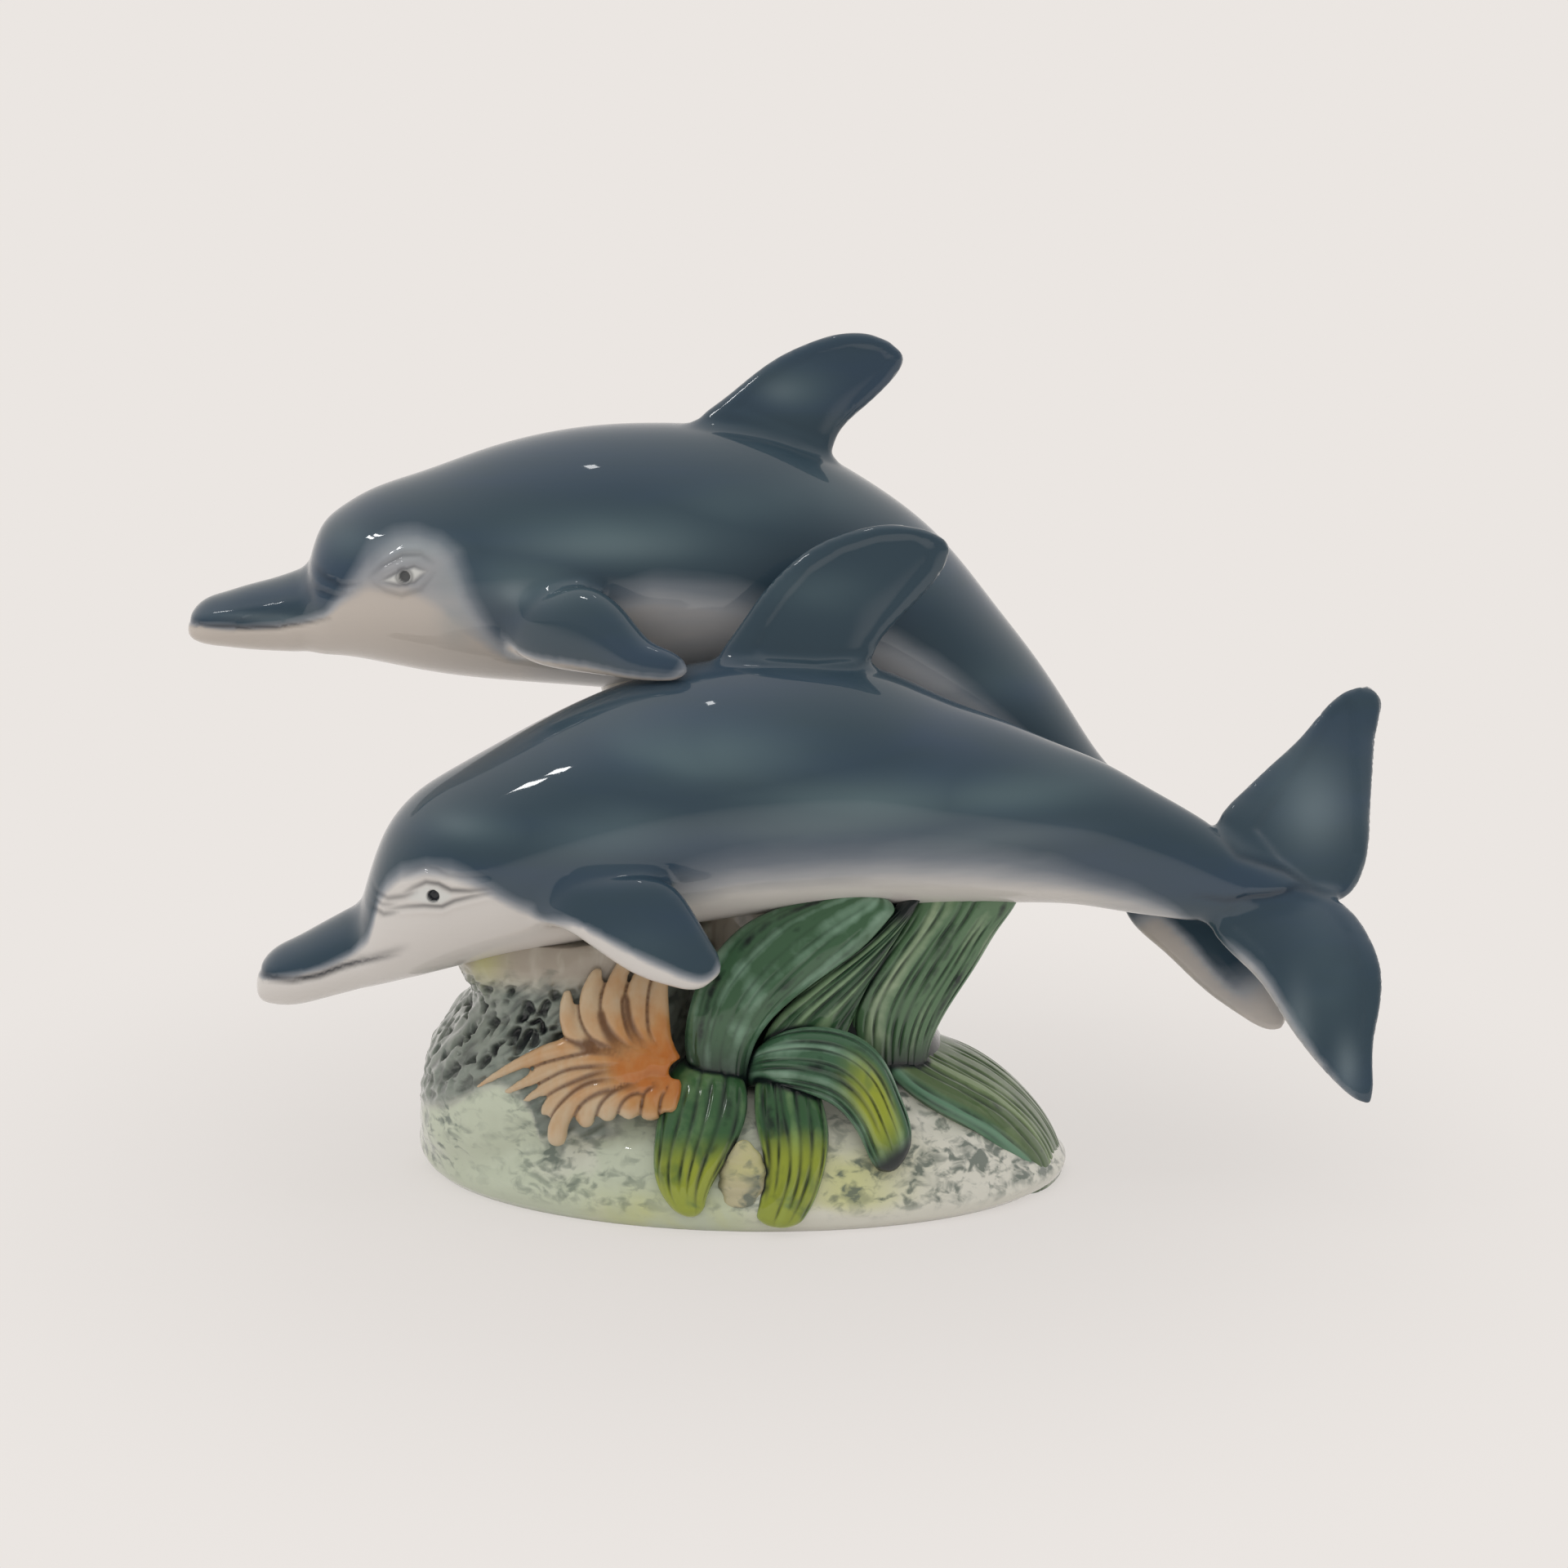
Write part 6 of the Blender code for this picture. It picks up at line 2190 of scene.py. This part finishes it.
def far_dolphin() -> Dolphin:
    """The dolphin behind."""
    upper = [(-89.3, 149.7), (-85.9, 152.6), (-81.3, 155.1), (-76.8, 155.3), (-73.8, 153.4)]
    lower = [(-89.0, 148.8), (-85.3, 146.4), (-81.5, 145.4), (-77.0, 146.9), (-73.5, 150.9)]
    almond = [
        (-86.7, 148.8), (-82.1, 151.3), (-78.4, 152.6), (-75.4, 151.5), (-78.4, 148.8),
        (-82.2, 148.0),
    ]
    return Dolphin(
        name="far_dolphin",
        plane=FAR_Y,
        body=FAR_BODY,
        beak=FAR_BEAK,
        fin=FAR_FIN,
        flippers=(FAR_FLIPPER_NEAR, FAR_FLIPPER_FAR),
        flukes=(
            Lobe(FAR_FLUKE_NEAR, -1.0, 0.3, 0.5, 0.8),
            Lobe(FAR_FLUKE_FAR, -1.0, 0.8, 1.0, 0.4),
        ),
        least=[
            (-200.0, 0.0), (-64.0, 0.0), (-50.0, 0.2), (-16.0, 0.3), (40.0, 0.34), (80.0, 0.45),
            (200.0, 0.5),
        ],
        # The pale patch round the eye: its own pale paint, with a painted reflection of a window on
        # it
        clearings=(
            (
                [
                    (-83.0, 159.6), (-87.0, 156.6), (-89.6, 152.6), (-91.6, 148.6), (-95.4, 144.0),
                    (-98.0, 138.0), (-96.0, 128.0), (-59.6, 128.0), (-59.4, 134.7), (-62.0, 140.4),
                    (-64.4, 146.0), (-65.4, 151.4), (-67.6, 156.4), (-72.0, 159.6), (-77.6, 160.6),
                ],
                5.4, 0.27,
            ),
        ),
        edge=[
            (-140.0, 135.2, 0.8), (-134.6, 135.3, 0.8), (-121.8, 134.8, 0.8), (-114.1, 135.6, 1.0),
            (-106.4, 137.5, 1.4), (-101.0, 139.8, 2.6), (-96.0, 146.0, 7.0), (-90.0, 153.0, 13.0),
            (-80.0, 153.0, 14.0), (-72.0, 148.0, 13.0), (-66.0, 141.0, 11.0), (-60.0, 134.0, 8.0),
            (-54.8, 130.0, 6.0), (-46.0, 134.0, 6.0),
            (-36.0, 143.6, 9.0), (-20.7, 147.6, 11.0), (-1.2, 145.0, 12.0), (18.5, 139.0, 12.0),
            (38.1, 133.0, 11.0), (48.0, 126.9, 10.0), (58.0, 118.9, 9.0), (68.0, 109.8, 8.0),
            (78.0, 99.0, 7.0), (90.0, 80.0, 5.0), (100.0, 60.0, 4.0), (160.0, 0.0, 3.0),
        ],
        eye=Eye(
            centre=(-80.8, 150.1),
            white=almond,
            lids=(
                Stroke(upper, 0.7, 0.45, 0.3),
                Stroke(lower, 0.7, 0.4, 0.24),
                Stroke([
                    (-86.7, 148.8), (-82.1, 151.3), (-78.4, 152.6), (-75.4, 151.5),
                ], 0.45, 0.4, 0.5),
                Stroke([
                    (-86.7, 148.8), (-82.2, 148.0), (-78.4, 148.8), (-75.4, 151.5),
                ], 0.45, 0.4, 0.45),
                Stroke([(-88.5, 151.4), (-85.0, 154.2), (-80.8, 156.6), (-76.3, 156.8)], 0.8, -0.3),
                Stroke([
                    (-88.6, 150.8), (-85.0, 151.5), (-80.8, 153.6), (-76.8, 154.2),
                ], 0.8, -0.25),
            ),
            pupil=1.3,
            ring=0.55,
        ),
        strokes=(
            Stroke([
                (-139.0, 135.2), (-134.6, 135.2), (-121.8, 134.6), (-114.1, 135.0),
                (-106.4, 136.6), (-100.0, 138.6),
            ], 0.6, 0.7, 0.85, False),
            Stroke([(-107.6, 152.0), (-105.5, 146.5), (-104.0, 142.0)], 1.4, 0.6, 0.4),
            Stroke([
                (-106.0, 152.4), (-100.3, 148.6), (-96.5, 147.2), (-92.0, 148.0),
            ], 0.9, 0.45, 0.45),
            Stroke([
                (-108.0, 149.0), (-103.0, 145.6), (-98.0, 144.6), (-94.0, 146.0),
            ], 0.8, 0.4, 0.4),
            Stroke([
                (-133.0, 137.6), (-124.0, 138.6), (-114.0, 140.4), (-106.0, 142.4),
            ], 0.9, -0.35),
            Stroke([(-130.0, 136.4), (-122.0, 136.8), (-112.0, 138.2)], 0.6, 0.35, 0.3),
        ),
        plates=(
            (
                [
                    (-2.3, 187.9), (4.6, 194.3), (11.6, 198.8), (18.5, 201.8), (26.5, 203.8),
                    (34.0, 203.0), (37.6, 199.8), (34.4, 194.7), (28.1, 188.7), (23.8, 183.5),
                    (21.0, 178.9), (10.6, 182.9),
                ],
                0.5,
            ),
        ),
        patches=[
            (-30.0, 160.0, 24.0, 6.0, 0.85), (8.0, 168.0, 20.0, 5.0, 0.55),
            (-52.0, 150.0, 14.0, 6.0, 0.6),
            (34.0, 150.0, 14.0, 7.0, 0.5), (14.0, 192.0, 8.0, 5.0, 0.7),
            (60.0, 122.0, 10.0, 6.0, 0.3),
            (-96.0, 158.0, 6.0, 4.0, 0.4),
        ],
        # Painted highlights: glints over and behind the eye, a streak along the beak, spots on the
        # fin and a faint streak on the flank
        painted_highlights=[
            (-78.0, 156.6, 9.0, 3.0, 0.42), (-70.0, 149.0, 4.0, 6.0, 0.3),
            (-118.0, 137.4, 12.0, 1.0, 0.35),
            (-54.0, 146.6, 3.6, 2.6, 0.4), (-69.0, 139.0, 4.0, 6.0, 0.3),
            (10.0, 192.0, 5.0, 3.0, 0.2), (-34.0, 158.0, 20.0, 3.0, 0.14),
        ],
        rim=0.6,
        glaze=DolphinGlaze("far_dolphin_glaze", cream=paint(206, 196, 186)),
    )


def weed() -> list[Leaf]:
    """All the leaves, front to back."""
    lit = paint(152, 172, 138)
    return [
        Leaf(
            "leaf_broad", LEAF_BROAD, 9, 0.16,
            LeafGlaze("leaf_broad_glaze", rib=paint(66, 102, 72), pale=paint(124, 158, 134)),
            seed=3, dark_root=0.3, line=0.42, fine=0.13, margins=(0.0, 0.2), slant=0.12,
        ),
        Leaf(
            "leaf_upright", LEAF_UPRIGHT, 11, 0.55,
            LeafGlaze("leaf_upright_glaze", rib=paint(88, 122, 86), pale=lit),
            seed=11, dark_root=0.26, dark_tip=0.1, margins=(0.0, 0.35),
        ),
        Leaf(
            "leaf_fan", LEAF_FAN, 7, 0.6, LeafGlaze("leaf_fan_glaze", rib=paint(54, 90, 58)),
            seed=5, dark_root=0.12, dark_tip=0.25, fine=0.22, slant=-0.5,
        ),
        Leaf(
            "leaf_middle", LEAF_MIDDLE, 8, 0.6,
            LeafGlaze("leaf_middle_glaze", rib=paint(66, 104, 76), pale=paint(126, 160, 136)),
            seed=8, glow=(0.52, 0.86, 0.95), glow_across=(-0.5, 0.5), dark_tip=0.14,
            margins=(0.25, 0.3),
        ),
        Leaf(
            "leaf_front_left", LEAF_FRONT_LEFT, 7, 0.6,
            LeafGlaze("leaf_front_left_glaze", rib=paint(58, 100, 60), pale=paint(124, 158, 104)),
            seed=21, glow=(0.6, 1.1, 0.9), dark_root=0.22, margins=(0.5, 0.3),
        ),
        Leaf(
            "leaf_front_right", LEAF_FRONT_RIGHT, 7, 0.6,
            LeafGlaze("leaf_front_right_glaze", rib=paint(54, 96, 58), pale=paint(124, 158, 104)),
            seed=34, glow=(0.5, 1.1, 0.85), dark_root=0.22, margins=(0.3, 0.7),
        ),
        Leaf(
            "leaf_right", LEAF_RIGHT, 12, 0.45,
            LeafGlaze(
                "leaf_right_glaze", rib=paint(84, 108, 66), pale=paint(126, 148, 100),
                margin=paint(104, 148, 122),
            ),
            seed=13, dark_root=0.1, line=0.72, fine=0.14, margins=(0.0, 0.9),
        ),
        Leaf(
            "leaf_back_left", LEAF_BACK_LEFT, 8, 0.6, LeafGlaze("leaf_back_left_glaze"),
            seed=2, dark_root=0.2,
        ),
        Leaf(
            "leaf_back_right", LEAF_BACK_RIGHT, 8, 0.6, LeafGlaze("leaf_back_right_glaze"),
            seed=7, glow=(0.7, 1.1, 0.6), dark_root=0.15,
        ),
    ]


def report(made: bpy.types.Object) -> None:
    """Say what a piece holds."""
    LOG.info("%s: %d faces", made.name, len(made.data.polygons))


def main() -> None:
    """Build the studio and every piece."""
    Studio().build()
    for dolphin in (near_dolphin(), far_dolphin()):
        report(dolphin.build())
    bed = SeaBed().build()
    report(bed.made)
    anemone = Anemone().build(bed.tree())
    report(anemone.made)
    pebble = Pebble().build()
    report(pebble.made)
    leaves = weed()
    skins = [leaf.build() for leaf in leaves]
    darken_seams(skins, [leaf.shade for leaf in leaves], [pebble])
    for leaf, skin in zip(leaves, skins):
        finish_piece(skin.made, leaf.glaze.material())
        trim_foot(skin.made)
        report(skin.made)


if __name__ == "__main__":
    logging.basicConfig(level=logging.INFO)
    main()
